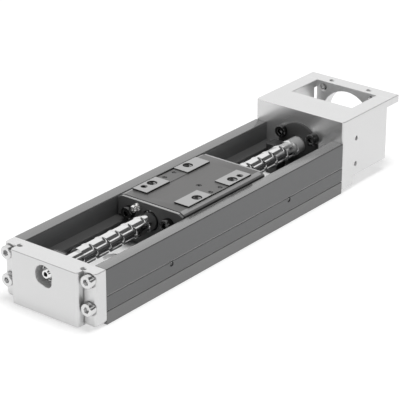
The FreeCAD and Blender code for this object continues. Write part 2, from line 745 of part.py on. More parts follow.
add(carriage, outline(carriage, "YZ_Plane", block_front_end, top_section("0")), "block_length")
body_low = ("-" + BODY_EDGE, BODY_LOW)
body_high = (BODY_EDGE, BODY_TOP)
add(carriage, rectangle(carriage, "YZ_Plane", body_front_end, body_low, body_high), "body_length")
for along in ("-", "+"):
    for across in ("-", "+"):
        middle_x = "(carriage_rest %s pad_pitch_long / 2)" % along
        middle_y = "(%spad_pitch_wide / 2)" % across
        low = (middle_x + " - pad_length / 2", middle_y + " - pad_width / 2")
        high = (middle_x + " + pad_length / 2", middle_y + " + pad_width / 2")
        add(carriage, rectangle(carriage, "XY_Plane", CARRIAGE_TOP, low, high), "pad_rise")
strip_reach = "(pad_pitch_long / 2 - pad_length / 2)"
for across in ("-", "+"):
    middle_y = "(%spad_pitch_wide / 2)" % across
    low = ("carriage_rest - " + strip_reach, middle_y + " - pad_width / 2")
    high = ("carriage_rest + " + strip_reach, middle_y + " + pad_width / 2")
    add(carriage, rectangle(carriage, "XY_Plane", CARRIAGE_TOP, low, high), "strip_rise")


def on_carriage(along, across):
    """Four places about the carriage's middle."""
    ends = ("carriage_rest + %s / 2" % along, "carriage_rest - %s / 2" % along)
    return [(end, side + across + " / 2") for end in ends for side in ("", "-")]


load_holes = on_carriage("load_hole_long", "load_hole_wide")
cut(carriage, circles(carriage, "XY_Plane", PAD_TOP, "load_hole_radius", load_holes), "load_hole_depth")
dowels = [("carriage_rest - dowel_long / 2", "dowel_wide / 2"),
          ("carriage_rest + dowel_long / 2", "-dowel_wide / 2")]
cut(carriage, circles(carriage, "XY_Plane", PAD_TOP, "dowel_radius", dowels), "dowel_depth")
plate_holes = on_carriage("plate_hole_long", "plate_hole_wide")
strip_top = CARRIAGE_TOP + " + strip_rise"
small_holes = circles(carriage, "XY_Plane", strip_top, "plate_hole_radius", plate_holes)
cut(carriage, small_holes, "plate_hole_depth")
plug = [("carriage_rest + plug_hole_x", "plug_hole_y")]
cut(carriage, circles(carriage, "XY_Plane", CARRIAGE_TOP, "plug_hole_radius", plug), "plug_hole_depth")
block_rear_end = "carriage_rest + block_length / 2"
nut_room = "nut_radius + seat_clearance"
cut(carriage, circles(carriage, "YZ_Plane", block_rear_end, nut_room, axis_spot), "block_length")
for level in (ROW_HIGH, ROW_LOW):
    raceways = circles(carriage, "YZ_Plane", "carriage_rest + body_length / 2", GUIDE_GROOVE,
                       both_sides(BALL_LINE, level))
    cut(carriage, raceways, "body_length")
    passage = circles(carriage, "YZ_Plane", "carriage_rest + body_length / 2", GUIDE_GROOVE,
                      both_sides(RETURN_LINE, level))
    cut(carriage, passage, "body_length")
seal_bolts = both_sides("seal_screw_row / 2", CARRIAGE_TOP + " - seal_screw_drop")
bite = "seal_screw_length + bolt_radius"
cut(carriage, circles(carriage, "YZ_Plane", block_rear_end, tapped, seal_bolts), bite)
cut(carriage, circles(carriage, "YZ_Plane", block_front_end, tapped, seal_bolts), bite, forward=True)
nipple_line = CARRIAGE_TOP + " - nipple_drop"
nipple_spot = [("nipple_y", nipple_line)]
nipple_hole = "nipple_thread_radius + seat_clearance"
nipple_bore = circles(carriage, "YZ_Plane", block_front_end, nipple_hole, nipple_spot)
cut(carriage, nipple_bore, "nipple_thread_length", forward=True)

# Return caps under the block's overhangs and thin end seals over the whole end, one pair per end
seal_screws = []
for end, sign, heading in (("front", "-", 1), ("rear", "+", -1)):
    block_end = "carriage_rest %s block_length / 2" % sign
    cap_start = block_front_end if end == "front" else "carriage_rest + body_length / 2"
    cap_length = "(block_length - body_length) / 2"
    seal_start = block_end + " - seal_thickness" if end == "front" else block_end
    return_cap = new_body(end + "_return_cap")
    add(return_cap, rectangle(return_cap, "YZ_Plane", cap_start, body_low, body_high), cap_length)
    shaft_hole = circles(return_cap, "YZ_Plane", cap_start, "screw_radius + shaft_gap", axis_spot)
    cut(return_cap, shaft_hole, cap_length, forward=True)
    for level in (ROW_HIGH, ROW_LOW):
        for side in ("", "-"):
            low = (side + RETURN_LINE, level + " - guide_ball_radius")
            high = (side + HALF_TROUGH, level + " + guide_ball_radius")
            inner_face = "carriage_rest %s body_length / 2" % sign
            turn = rectangle(return_cap, "YZ_Plane", inner_face, low, high)
            cut(return_cap, turn, "2 * guide_ball_radius", forward=end == "rear")
    seal = new_body(end + "_end_seal")
    add(seal, outline(seal, "YZ_Plane", seal_start, top_section("seal_inset")), "seal_thickness")
    tongue = rectangle(seal, "YZ_Plane", seal_start, body_low, (BODY_EDGE, BODY_TOP + " + seal_inset"))
    add(seal, tongue, "seal_thickness")
    shaft_hole = circles(seal, "YZ_Plane", seal_start, "screw_radius + shaft_gap", axis_spot)
    cut(seal, shaft_hole, "seal_thickness", forward=True)
    bolt_holes = circles(seal, "YZ_Plane", seal_start, "bolt_radius + through_clearance", seal_bolts)
    cut(seal, bolt_holes, "seal_thickness", forward=True)
    if end == "front":
        bore = circles(seal, "YZ_Plane", seal_start, nipple_hole, nipple_spot)
        cut(seal, bore, "seal_thickness", forward=True)
    outer_face = "(%s %s seal_thickness)" % (block_end, sign)
    for k, (y, z) in enumerate(seal_bolts):
        name = "%s_seal_screw_%d" % (end, k)
        seal_screws.append(socket_screw(name, heading, outer_face, y, z, "seal_screw_length"))
group("end_seal_screws", seal_screws)

# Grease nipple on the front end
nipple_base = "(carriage_rest - block_length / 2 - seal_thickness)"
nipple_end = nipple_base + " - nipple_length"
nipple_round = {"y": "nipple_y", "z": nipple_line}
nipple_hex = block("Prism", "nipple_hex", TO_MINUS_X, (nipple_base, "nipple_y", nipple_line),
                   Circumradius="nipple_hex_radius", Height="nipple_hex_length")
nipple_foot = nipple_base + " + seal_thickness + nipple_thread_length - seat_clearance"
nipple_stem = rod("nipple_stem", nipple_base, nipple_foot, "nipple_thread_radius", **nipple_round)
nipple_ball = nipple_end + " + nipple_head_radius"
nipple_neck = rod("nipple_neck", nipple_ball, nipple_base, "nipple_neck_radius", **nipple_round)
nipple_head = block("Sphere", "nipple_head", UPRIGHT, (nipple_ball, "nipple_y", nipple_line),
                    Radius="nipple_head_radius")
keep("grease_nipple", fuse("nipple", [nipple_hex, nipple_stem, nipple_neck, nipple_head]))

# Ball nut in the carriage and the balls in its thread, wound in step with the screw
nut_front = "(carriage_rest - body_length / 2)"
nut_rear = "(carriage_rest + body_length / 2)"
nut_tube = subtract("nut_tube", rod("nut_solid", nut_front, nut_rear, "nut_radius"),
                    rod("nut_hole", nut_front, nut_rear, "screw_radius + nut_bore_gap"))
turns_before = "ceil((carriage_rest - nut_turns * lead / 2 - %s) / lead)" % GROOVE_START
first_turn = "(%s + lead * %s)" % (GROOVE_START, turns_before)
keep("ball_nut", subtract("nut", nut_tube, ball_groove("nut_groove", first_turn, "nut_turns * lead")))
nut_balls = []
for k in range(count("nut_ball_count")):
    turns = "(nut_turns * (%d + 0.5) / nut_ball_count)" % k
    angle = "(360 * %s - 90)" % turns
    place = (first_turn + " + lead * " + turns,
             "screw_ball_circle * cos(%s)" % angle,
             SCREW_LINE + " + screw_ball_circle * sin(%s)" % angle)
    nut_balls.append(block("Sphere", "nut_ball_%d" % k, UPRIGHT, place, Radius="screw_ball_radius"))
group("nut_balls", nut_balls)

# Guide balls, two loaded rows on each side, with a strip between the rows that keeps them in
for side, sign in (("left", ""), ("right", "-")):
    row_balls = []
    for row, level in (("high", ROW_HIGH), ("low", ROW_LOW)):
        for k in range(count("row_ball_count")):
            x = "carriage_rest + row_ball_pitch * (%d - (row_ball_count - 1) / 2)" % k
            place = (x, sign + BALL_LINE, level)
            name = "%s_%s_ball_%d" % (side, row, k)
            row_balls.append(block("Sphere", name, UPRIGHT, place, Radius="guide_ball_radius"))
    group("guide_balls_" + side, row_balls)
    strip = new_body("ball_retainer_" + side)
    low = (sign + BODY_EDGE, ROW_LOW + " + guide_ball_radius + strip_margin")
    high = (sign + "(%s + retainer_strip)" % BODY_EDGE, ROW_HIGH + " - guide_ball_radius - strip_margin")
    add(strip, rectangle(strip, "YZ_Plane", body_front_end, low, high), "body_length")

# End stops in the trough, left of the screw, each held by a flat-headed screw from below
stop_screws = []
rear_stop_start = REAR + " - rear_stop_gap - rear_stop_length"
stop_places = (("front_stop", FRONT, "front_stop_length", front_stop_middle),
               ("rear_stop", rear_stop_start, "rear_stop_length", rear_stop_middle))
for name, start, length, middle in stop_places:
    stop = new_body(name)
    low = ("stop_inner", "rail_floor")
    high = ("stop_outer", "rail_height - stop_drop")
    section = rectangle(stop, "YZ_Plane", start, low, high)
    add(stop, section, length)
    hole = circles(stop, "XY_Plane", "rail_floor", stop_hole, [(middle, stop_line)])
    cut(stop, hole, "stop_bolt_length - rail_floor", forward=True)
    shank = block("Cylinder", name + "_shank", UPRIGHT, (middle, stop_line, "0"),
                  Radius="stop_bolt_radius", Height="stop_bolt_length")
    head = block("Cylinder", name + "_head", UPRIGHT, (middle, stop_line, "0"),
                 Radius="stop_sink_radius", Height="stop_sink_depth")
    stop_screws.append(fuse(name + "_screw", [shank, head]))
group("stop_screws", stop_screws)

doc.recompute()

# Every object has to be sound before anything is written
for thing in doc.Objects:
    if "Invalid" in thing.State or "Error" in thing.State:
        raise RuntimeError("%s did not build: %s" % (thing.Label, thing.State))
for label, thing in sub_parts.items():
    if thing.Shape.isNull() or not thing.Shape.isValid() or not thing.Shape.Solids:
        raise RuntimeError("%s has no sound solid" % label)

os.makedirs("parts", exist_ok=True)
for label, thing in sub_parts.items():
    thing.Shape.exportStep("parts/%s.step" % label)
    print("%-28s solids %3d  volume %10.2f" % (label, len(thing.Shape.Solids), thing.Shape.Volume))
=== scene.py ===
import math

import bmesh
import bpy
from mathutils import Matrix, Vector


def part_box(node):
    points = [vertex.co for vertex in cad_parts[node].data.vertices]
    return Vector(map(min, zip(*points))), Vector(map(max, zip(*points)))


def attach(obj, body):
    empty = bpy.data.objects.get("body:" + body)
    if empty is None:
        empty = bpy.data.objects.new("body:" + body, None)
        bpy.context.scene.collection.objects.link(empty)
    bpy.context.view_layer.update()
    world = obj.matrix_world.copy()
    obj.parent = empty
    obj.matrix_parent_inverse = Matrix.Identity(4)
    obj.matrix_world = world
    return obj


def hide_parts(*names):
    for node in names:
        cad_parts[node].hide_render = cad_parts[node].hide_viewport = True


# An electric linear slide on a white studio floor, seen from above its front right corner.
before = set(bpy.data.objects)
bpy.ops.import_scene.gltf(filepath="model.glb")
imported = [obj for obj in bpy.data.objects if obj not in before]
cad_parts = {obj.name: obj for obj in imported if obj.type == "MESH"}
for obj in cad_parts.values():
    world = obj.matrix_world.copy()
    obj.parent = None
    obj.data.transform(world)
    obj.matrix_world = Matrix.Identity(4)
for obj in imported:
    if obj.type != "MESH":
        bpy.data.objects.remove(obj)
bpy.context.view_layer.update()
MM = 0.001

# Studio: a white floor that runs out of sight into a white room. Polished metal mirrors two long light
# banks beside the slide, one overhead and one on the right. Two soft boxes, a strong one overhead and
# a weak one behind, light the faces and cast the shadow.
scene = bpy.context.scene
scene.view_settings.view_transform = "Standard"


def feed(tree, socket, value):
    """Gives a socket another node's output, or a fixed number or colour."""
    if isinstance(value, bpy.types.NodeSocket):
        tree.links.new(value, socket)
    else:
        socket.default_value = value


def reckon(tree, operation, *values):
    """One step of arithmetic on numbers or outputs."""
    node = tree.nodes.new("ShaderNodeMath")
    node.operation = operation
    for socket, value in zip(node.inputs, values):
        feed(tree, socket, value)
    return node.outputs["Value"]


def ramp(tree, value, low, high, start=0.0, end=1.0):
    """Runs from start to end while the value runs from low to high."""
    node = tree.nodes.new("ShaderNodeMapRange")
    for socket, number in zip(node.inputs, (value, low, high, start, end)):
        feed(tree, socket, number)
    return node.outputs["Result"]


def coordinates(tree, kind="Object"):
    """The place on a piece in metres, or the direction in a room, split into X, Y and Z."""
    place = tree.nodes.new("ShaderNodeTexCoord")
    split = tree.nodes.new("ShaderNodeSeparateXYZ")
    tree.links.new(place.outputs[kind], split.inputs["Vector"])
    return split.outputs


white = (1.0, 1.0, 1.0, 1.0)
room_glow = 0.35
bank_gap_glow = 0.10
overhead_bank_edge = (math.radians(1), math.radians(5))
side_bank_top = (math.radians(46), math.radians(49))
side_bank_foot = (math.radians(60), math.radians(64))
room = bpy.data.worlds.new("white_room")
scene.world = room
room.use_nodes = True
tree = room.node_tree
backdrop = tree.nodes["Background"]
backdrop.inputs["Color"].default_value = white
direction = coordinates(tree, "Generated")
to_right = reckon(tree, "MULTIPLY", direction["Y"], -1.0)
lean = reckon(tree, "ARCTAN2", to_right, direction["Z"])
overhead_bank = ramp(tree, lean, *overhead_bank_edge, 1.0, bank_gap_glow)
side_bank = reckon(tree, "MINIMUM", ramp(tree, lean, *side_bank_top, bank_gap_glow, 1.0),
                   ramp(tree, lean, *side_bank_foot, 1.0, bank_gap_glow))
banks = reckon(tree, "MAXIMUM", overhead_bank, side_bank)
ray = tree.nodes.new("ShaderNodeLightPath").outputs
mirrored = reckon(tree, "MULTIPLY", ray["Is Glossy Ray"], banks)
not_mirrored = reckon(tree, "SUBTRACT", 1.0, ray["Is Glossy Ray"])
soft = reckon(tree, "MULTIPLY", not_mirrored, room_glow)
seen = reckon(tree, "MAXIMUM", ray["Is Camera Ray"], ray["Is Transmission Ray"])
room_light = reckon(tree, "MAXIMUM", seen, reckon(tree, "ADD", mirrored, soft))
tree.links.new(room_light, backdrop.inputs["Strength"])

floor_half = 6.0
floor_drop = 0.05 * MM
floor_mesh = bmesh.new()
bmesh.ops.create_grid(floor_mesh, x_segments=1, y_segments=1, size=floor_half)
bmesh.ops.translate(floor_mesh, vec=(0, 0, -floor_drop), verts=floor_mesh.verts)
floor_data = bpy.data.meshes.new("studio_floor")
floor_mesh.to_mesh(floor_data)
floor_mesh.free()
studio_floor = bpy.data.objects.new("studio_floor", floor_data)
scene.collection.objects.link(studio_floor)

floor_grey = (0.55, 0.55, 0.55, 1.0)
floor_glow = 0.53
floor_white = bpy.data.materials.new("floor_white")
floor_white.use_nodes = True
tree = floor_white.node_tree
floor_shader = tree.nodes["Principled BSDF"]
floor_shader.inputs["Base Color"].default_value = floor_grey
floor_shader.inputs["Roughness"].default_value = 0.9
floor_shader.inputs["Specular IOR Level"].default_value = 0.1
floor_shader.inputs["Emission Color"].default_value = white
ray = tree.nodes.new("ShaderNodeLightPath").outputs
mirror_ray = reckon(tree, "MAXIMUM", ray["Is Glossy Ray"], ray["Is Transmission Ray"])
floor_seen = reckon(tree, "MAXIMUM", ray["Is Camera Ray"], mirror_ray)
floor_light = reckon(tree, "MULTIPLY", floor_seen, floor_glow)
tree.links.new(floor_light, floor_shader.inputs["Emission Strength"])
floor_data.materials.append(floor_white)

slide_middle = Vector((0.02, 0.0, 0.02))


def soft_lamp(name, place, size, watts):
    """A square soft box that points at the slide. Metal mirrors the banks and not the lamp."""
    lamp = bpy.data.lights.new(name, "AREA")
    lamp.size = size
    lamp.energy = watts
    holder = bpy.data.objects.new(name, lamp)
    holder.visible_glossy = False
    holder.location = place
    holder.rotation_euler = (slide_middle - Vector(place)).to_track_quat("-Z", "Y").to_euler()
    scene.collection.objects.link(holder)


soft_lamp("back_lamp", place=(0.30, 0.75, 0.95), size=0.5, watts=1.5)
soft_lamp("top_lamp", place=(0.02, -0.12, 1.15), size=0.4, watts=9.0)

# Camera: a long lens a metre away, above the slide's front right corner. It is turned by a trace about
# its own axis, as the picture is.
view_azimuth = math.radians(-51.72)
view_elevation = math.radians(24.29)
view_roll = math.radians(0.12)
view_distance = 1.0
view_target = Vector((-0.0239, -0.0272, 0.0390))
camera_lens = bpy.data.cameras.new("camera")
camera_lens.sensor_fit = "HORIZONTAL"
camera_lens.sensor_width = 36.0
camera_lens.lens = 177.86
camera_lens.clip_start = 0.01
camera = bpy.data.objects.new("camera", camera_lens)
away = Vector((math.sin(view_azimuth) * math.cos(view_elevation),
               -math.cos(view_azimuth) * math.cos(view_elevation),
               math.sin(view_elevation)))
aim = (-away).to_track_quat("-Z", "Y").to_matrix() @ Matrix.Rotation(view_roll, 3, "Z")
camera.matrix_world = Matrix.Translation(view_target + view_distance * away) @ aim.to_4x4()
scene.collection.objects.link(camera)
scene.camera = camera

# Guide rail: a U of hardened steel with a dark rust-proof finish, ground lighter on its two top edges.
# Each side has two milled grooves and two small tapped holes, and the outer edges are broken with a fine
# chamfer. Painted shade darkens a line under the outer top edges and the wide inner top chamfers, painted
# light fills the grooves, and a band of the trough's floor beside the screw is painted near white and
# matte, as painted reflection.


def tool_marks(tree, per_metre, detail=3.0):
    """Noise drawn out along the way of the tool: how many marks fit in a metre along X, Y and Z."""
    place = tree.nodes.new("ShaderNodeTexCoord")
    stretch = tree.nodes.new("ShaderNodeMapping")
    stretch.inputs["Scale"].default_value = per_metre
    marks = tree.nodes.new("ShaderNodeTexNoise")
    marks.inputs["Scale"].default_value = 1.0
    marks.inputs["Detail"].default_value = detail
    tree.links.new(place.outputs["Object"], stretch.inputs["Vector"])
    tree.links.new(stretch.outputs["Vector"], marks.inputs["Vector"])
    return marks.outputs["Fac"]


def mixed(tree, share, first, second):
    """The first colour where the share is 0 and the second where it is 1."""
    node = tree.nodes.new("ShaderNodeMix")
    node.data_type = "RGBA"
    factor, first_colour, second_colour = node.inputs[0], node.inputs[6], node.inputs[7]
    feed(tree, factor, share)
    feed(tree, first_colour, first)
    feed(tree, second_colour, second)
    return node.outputs[2]


def grey(level, warmth=0.0):
    """A near neutral colour; a positive warmth leans to yellow, a negative one to blue."""
    return (level * (1 + warmth), level, level * (1 - warmth), 1.0)


def worked_surface(name, colour, roughness, marks, contrast=0.12, relief=0.002 * MM, metallic=1.0):
    """A surface with fine marks of its tool in colour, gloss and relief."""
    faint_mark = 0.2
    strong_mark = 0.8
    material = bpy.data.materials.new(name)
    material.use_nodes = True
    tree = material.node_tree
    shader = tree.nodes["Principled BSDF"]
    shader.inputs["Metallic"].default_value = metallic
    lines = tool_marks(tree, marks)
    darker = [channel * (1 - contrast) for channel in colour[:3]] + [1.0]
    lighter = [channel * (1 + contrast) for channel in colour[:3]] + [1.0]
    tree.links.new(mixed(tree, lines, darker, lighter), shader.inputs["Base Color"])
    gloss = ramp(tree, lines, faint_mark, strong_mark, roughness * 0.8, roughness * 1.2)
    tree.links.new(gloss, shader.inputs["Roughness"])
    bump = tree.nodes.new("ShaderNodeBump")
    bump.inputs["Distance"].default_value = relief
    tree.links.new(lines, bump.inputs["Height"])
    tree.links.new(bump.outputs["Normal"], shader.inputs["Normal"])
    return material


def refinish(material, mask, colour, roughness, metallic=None):
    """Gives the surface another colour and gloss, and another metal share, where the mask is 1."""
    tree = material.node_tree
    inputs = tree.nodes["Principled BSDF"].inputs
    plain_colour = inputs["Base Color"].links[0].from_socket
    tree.links.new(mixed(tree, mask, plain_colour, colour), inputs["Base Color"])
    for socket, value in ((inputs["Roughness"], roughness), (inputs["Metallic"], metallic)):
        if value is not None:
            plain = socket.links[0].from_socket if socket.is_linked else socket.default_value
            step = reckon(tree, "MULTIPLY", mask, reckon(tree, "SUBTRACT", value, plain))
            tree.links.new(reckon(tree, "ADD", plain, step), socket)


def above(tree, value, level, softness=0.05 * MM):
    """1 above a level and 0 below it."""
    return ramp(tree, value, level - softness, level + softness)


def below(tree, value, level, softness=0.05 * MM):
    """1 below a level and 0 above it."""
    return ramp(tree, value, level - softness, level + softness, 1.0, 0.0)


def both(tree, first, second):
    """1 where both masks are 1."""
    return reckon(tree, "MULTIPLY", first, second)


def between(tree, value, low, high):
    """1 between two levels and 0 outside them."""
    return both(tree, above(tree, value, low), below(tree, value, high))


def off(tree, value, level):
    """How far a value is from a level, either way."""
    return reckon(tree, "ABSOLUTE", reckon(tree, "SUBTRACT", value, level))


def new_piece(name, mesh, smooth=math.radians(30)):
    """Makes a mesh an object, smooth over its round faces and crisp along its edges."""
    data = bpy.data.meshes.new(name)
    mesh.to_mesh(data)
    mesh.free()
    if "custom_normal" in data.attributes:
        data.attributes.remove(data.attributes["custom_normal"])
    data.shade_smooth()
    data.set_sharp_from_angle(angle=smooth)
    piece = bpy.data.objects.new(name, data)
    scene.collection.objects.link(piece)
    return piece


def fit(piece, material, body, slot, *nodes, spots=()):
    """Finishes a piece, lets it ride on its body and hides the nodes that it stands for."""
    piece.data.materials.clear()
    for finish in (material, *spots):
        piece.data.materials.append(finish)
    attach(piece, body)
    if nodes:
        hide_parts(*nodes)


def ease(mesh, edges, width):
    """Breaks edges with a flat chamfer."""
    bmesh.ops.bevel(mesh, geom=edges, offset=width, segments=1, profile=0.5, affect="EDGES", material=-1,
                    clamp_overlap=False)


touching = 0.001 * MM


def merged_copy(node):
    """A node's mesh as one closed skin."""
    mesh = bmesh.new()
    mesh.from_mesh(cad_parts[node].data)
    bmesh.ops.remove_doubles(mesh, verts=mesh.verts, dist=touching)
    return mesh


def eased_copy(name, node, width, hole_bands=(), crisp=None, mouths=None, mouth_width=0.0):
    """A copy of a machined node with its outer edges broken by a small chamfer.

    A hole band is a stretch along X with holes in it. Its faces are parted from the plain ones beside
    it, so that the chamfer runs straight there. Crisp says which edges stay sharp, and mouths which
    ones get a wider chamfer.
    """
    flat = math.radians(0.5)
    sharp = math.radians(40)
    long_edge = 1 * MM
    mesh = merged_copy(node)
    bmesh.ops.dissolve_limit(mesh, angle_limit=flat, verts=mesh.verts, edges=mesh.edges)
    for band in hole_bands:
        for level in band:
            bmesh.ops.bisect_plane(mesh, geom=mesh.verts[:] + mesh.edges[:] + mesh.faces[:],
                                   dist=touching, plane_co=(level, 0, 0), plane_no=(1, 0, 0))

    def spare(edge):
        first, last = sorted(corner.co.x for corner in edge.verts)
        in_band = any(start < (first + last) / 2 < end for start, end in hole_bands)
        return last - first > long_edge and not in_band and edge.calc_face_angle(math.pi) < flat

    if hole_bands:
        bmesh.ops.dissolve_edges(mesh, edges=[edge for edge in mesh.edges if spare(edge)])

    def middle(edge):
        return (edge.verts[0].co + edge.verts[1].co) / 2

    outer = [edge for edge in mesh.edges
             if edge.is_manifold and edge.is_convex and edge.calc_face_angle() > sharp]
    if crisp:
        outer = [edge for edge in outer if not crisp(middle(edge))]
    wide = [edge for edge in outer if mouths and mouths(middle(edge))]
    ease(mesh, [edge for edge in outer if edge not in wide], width)
    if wide:
        ease(mesh, [edge for edge in wide if edge.is_valid], mouth_width)
    return new_piece(name, mesh)


rail_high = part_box("guide_rail")[1]
half_channel = 22.4 * MM
half_trough = 15.0 * MM
ledge_height = 19.5 * MM
trough_floor = 5.5 * MM
lip = 0.7 * MM
skin = 0.1 * MM
rail_chamfer = 0.2 * MM

lengthwise = (25.0, 2600.0, 2600.0)
rail_steel = worked_surface("rail_steel", grey(0.172, -0.01), roughness=0.40, marks=lengthwise,
                            metallic=0.6)
tree = rail_steel.node_tree
place = coordinates(tree)
height = place["Z"]
across = reckon(tree, "ABSOLUTE", place["Y"])

ground_top = rail_high.z - 0.08 * MM
ground_softness = 0.03 * MM
on_top = above(tree, height, ground_top, ground_softness)
refinish(rail_steel, on_top, grey(0.275), roughness=0.20, metallic=0.85)
under_top = below(tree, height, ground_top, ground_softness)
on_lip = both(tree, above(tree, height, rail_high.z - lip), under_top)
# Painted shade: the wide inner top chamfers are painted darker than the rail's finish.
inner_lip_shade = both(tree, on_lip, below(tree, across, half_channel + lip))
refinish(rail_steel, inner_lip_shade, grey(0.12), roughness=0.40)

low_groove = 7.4 * MM
high_groove = 15.5 * MM
half_groove = 0.4 * MM
rail_edge_shade_depth = 0.55 * MM
side_depth = 1.0 * MM
on_side = above(tree, across, rail_high.y - side_depth)
under_groove = both(tree, on_side, below(tree, height, low_groove))
refinish(rail_steel, under_groove, grey(0.225), roughness=0.40)
# Painted shade: a dark line is painted on the sides just under the outer top edges.
rail_edge_shade = both(tree, above(tree, height, rail_high.z - rail_edge_shade_depth), under_top)
refinish(rail_steel, both(tree, on_side, rail_edge_shade), grey(0.085), roughness=0.40)
in_side = both(tree, on_side, below(tree, across, rail_high.y - skin))
# Painted light: the insides of the side grooves are painted lighter than the rail, the upper one more.
for groove, groove_light_tint in ((low_groove, grey(0.30)), (high_groove, grey(0.42))):
    in_groove = both(tree, in_side, below(tree, off(tree, height, groove), half_groove))
    refinish(rail_steel, in_groove, groove_light_tint, roughness=0.40)

strip_start = 9.0 * MM
on_ledge = both(tree, between(tree, across, half_trough - skin, half_channel + skin),
                between(tree, height, ledge_height - 3 * skin, ledge_height + skin))
refinish(rail_steel, on_ledge, grey(0.15), roughness=0.30)
# Painted reflection: the band of the trough's floor beside the screw is painted near white and matte.
painted_reflection_band = both(tree, between(tree, across, strip_start, half_trough + 2 * skin),
                    between(tree, height, 2 * skin, trough_floor + 2 * skin))
refinish(rail_steel, painted_reflection_band, grey(0.92), roughness=0.5, metallic=0.0)

sensor_hole_height = 13.8 * MM
sensor_hole_places = (-50 * MM, 50 * MM)
half_band = 7.0 * MM
hole_bands = [(along - half_band, along + half_band) for along in sensor_hole_places]


def inner_lip(middle):
    return abs(middle.z - rail_high.z) < skin and abs(abs(middle.y) - half_channel) < skin


rail = eased_copy("rail_body", "guide_rail", rail_chamfer, hole_bands, mouths=inner_lip, mouth_width=lip)
fit(rail, rail_steel, "base", "rail_steel", "guide_rail")


def stamp(target, source, place, direction, turn=0.0):
    """Adds a copy of a mesh that is drawn along +X, at a place and along a direction."""
    aim = Vector((1, 0, 0)).rotation_difference(Vector(direction)).to_matrix().to_4x4()
    data = bpy.data.meshes.new("stamp")
    source.to_mesh(data)
    data.transform(Matrix.Translation(place) @ aim @ Matrix.Rotation(turn, 4, "X"))
    target.from_mesh(data)
    bpy.data.meshes.remove(data)


def tapped_thread(radius, pitch, depth, start, steps):
    """The thread of a tapped hole: one ridge that winds down the wall from a start below the mouth."""
    wall = radius + 0.02 * MM
    crest = radius - 0.4 * pitch
    ridge = bmesh.new()
    corners = [ridge.verts.new((along, reach, 0)) for along, reach in
               ((start, wall), (start + 0.5 * pitch, crest), (start + pitch, wall))]
    edges = [ridge.edges.new(pair) for pair in zip(corners, corners[1:])]
    turns = int((depth - start) / pitch) - 1
    bmesh.ops.spin(ridge, geom=corners + edges, cent=(0, 0, 0), axis=(1, 0, 0), dvec=(pitch / steps, 0, 0),
                   angle=2 * math.pi * turns, steps=steps * turns)
    bmesh.ops.recalc_face_normals(ridge, faces=ridge.faces)
    first = ridge.faces[:][0]
    middle = first.calc_center_median()
    if first.normal.dot(Vector((0, middle.y, middle.z))) > 0:
        bmesh.ops.reverse_faces(ridge, faces=ridge.faces)
    return ridge


def tap(target, holes, radius, pitch, depth, start, steps=20):
    """Adds like threads to a mesh. A hole is the place of its mouth and the direction that it goes in."""
    thread = tapped_thread(radius, pitch, depth, start, steps)
    for mouth, direction in holes:
        stamp(target, thread, mouth, direction)
    thread.free()


small_tap = {"radius": 1.25 * MM, "pitch": 0.45 * MM}
sensor_holes = [((along, side * rail_high.y, sensor_hole_height), (0, -side, 0))
                for along in sensor_hole_places for side in (-1, 1)]
sensor_threads = bmesh.new()
tap(sensor_threads, sensor_holes, depth=5.0 * MM, start=0.7 * MM, **small_tap)
tapped_steel = worked_surface("tapped_steel", grey(0.35), roughness=0.22, marks=(1500.0, 1500.0, 1500.0))
fit(new_piece("rail_tapped_threads", sensor_threads), tapped_steel, "base", "rail_steel")

# Front end plate: milled from aluminium bar and anodised satin. Painted shade makes its front face a
# little darker than its top and its top front edge darker still, and lays a dark line in the inner corner
# at the foot of the raised middle block, beside the two ears. The plate holds the screw's front bearing,
# and two small tapped holes in its top take a cover.
plate_low, plate_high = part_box("front_end_plate")
screw_height = 22.2 * MM
bore_half = 9.0 * MM
bore_middle = screw_height - 2.0 * MM
bore_end = -101 * MM
ear_face = -107.6 * MM
half_block = 22.0 * MM
corner_shade_width = 0.6 * MM
edge_shade_width = 0.28 * MM
cover_hole_along = -105.9 * MM
cover_hole_side = 20.8 * MM
end_chamfer = 0.25 * MM
mouth_chamfer = 0.5 * MM

satin_marks = (1100.0, 1100.0, 1100.0)
satin_aluminium = worked_surface("satin_aluminium", grey(0.76), roughness=0.36, marks=satin_marks,
                                 contrast=0.04, relief=0.001 * MM, metallic=0.8)
tree = satin_aluminium.node_tree
place = coordinates(tree)
along = place["X"]
height = place["Z"]
across = reckon(tree, "ABSOLUTE", place["Y"])
bore_outline = both(tree, below(tree, across, bore_half),
                    below(tree, off(tree, height, bore_middle), bore_half))
in_bore = both(tree, between(tree, along, plate_low.x + 3 * skin, bore_end), bore_outline)
refinish(satin_aluminium, in_bore, grey(0.72), roughness=0.40, metallic=0.2)
# Painted shade: the front face is painted a little darker than the top.
shaded_front_face = below(tree, along, plate_low.x + skin)
refinish(satin_aluminium, shaded_front_face, grey(0.735), roughness=0.36)
# Painted shade: the top front edge is painted darker, so that it catches less light.
painted_edge_shade = both(tree, below(tree, along, plate_low.x + edge_shade_width),
               above(tree, height, plate_high.z - edge_shade_width))
refinish(satin_aluminium, painted_edge_shade, grey(0.45), roughness=0.40, metallic=0.6)
# Painted shade: a dark line is painted in the inner corner where the ears meet the middle block.
painted_corner_shade = both(tree, between(tree, across, half_block - corner_shade_width, half_block + corner_shade_width),
                 between(tree, along, ear_face - corner_shade_width, ear_face + skin))
refinish(satin_aluminium, painted_corner_shade, grey(0.52), roughness=0.40, metallic=0.6)


def near(*groups):
    """A test for points that are close to a place. A group is its places and how close they count."""
    def test(point):
        return any((point - Vector(place)).length < reach for places, reach in groups for place in places)
    return test


cover_mouths = [(cover_hole_along, side * cover_hole_side, plate_high.z) for side in (-1, 1)]
plate = eased_copy("front_plate_body", "front_end_plate", end_chamfer,
                   mouths=near((cover_mouths, 1.5 * MM)), mouth_width=mouth_chamfer)
fit(plate, satin_aluminium, "base", "end_aluminium", "front_end_plate")

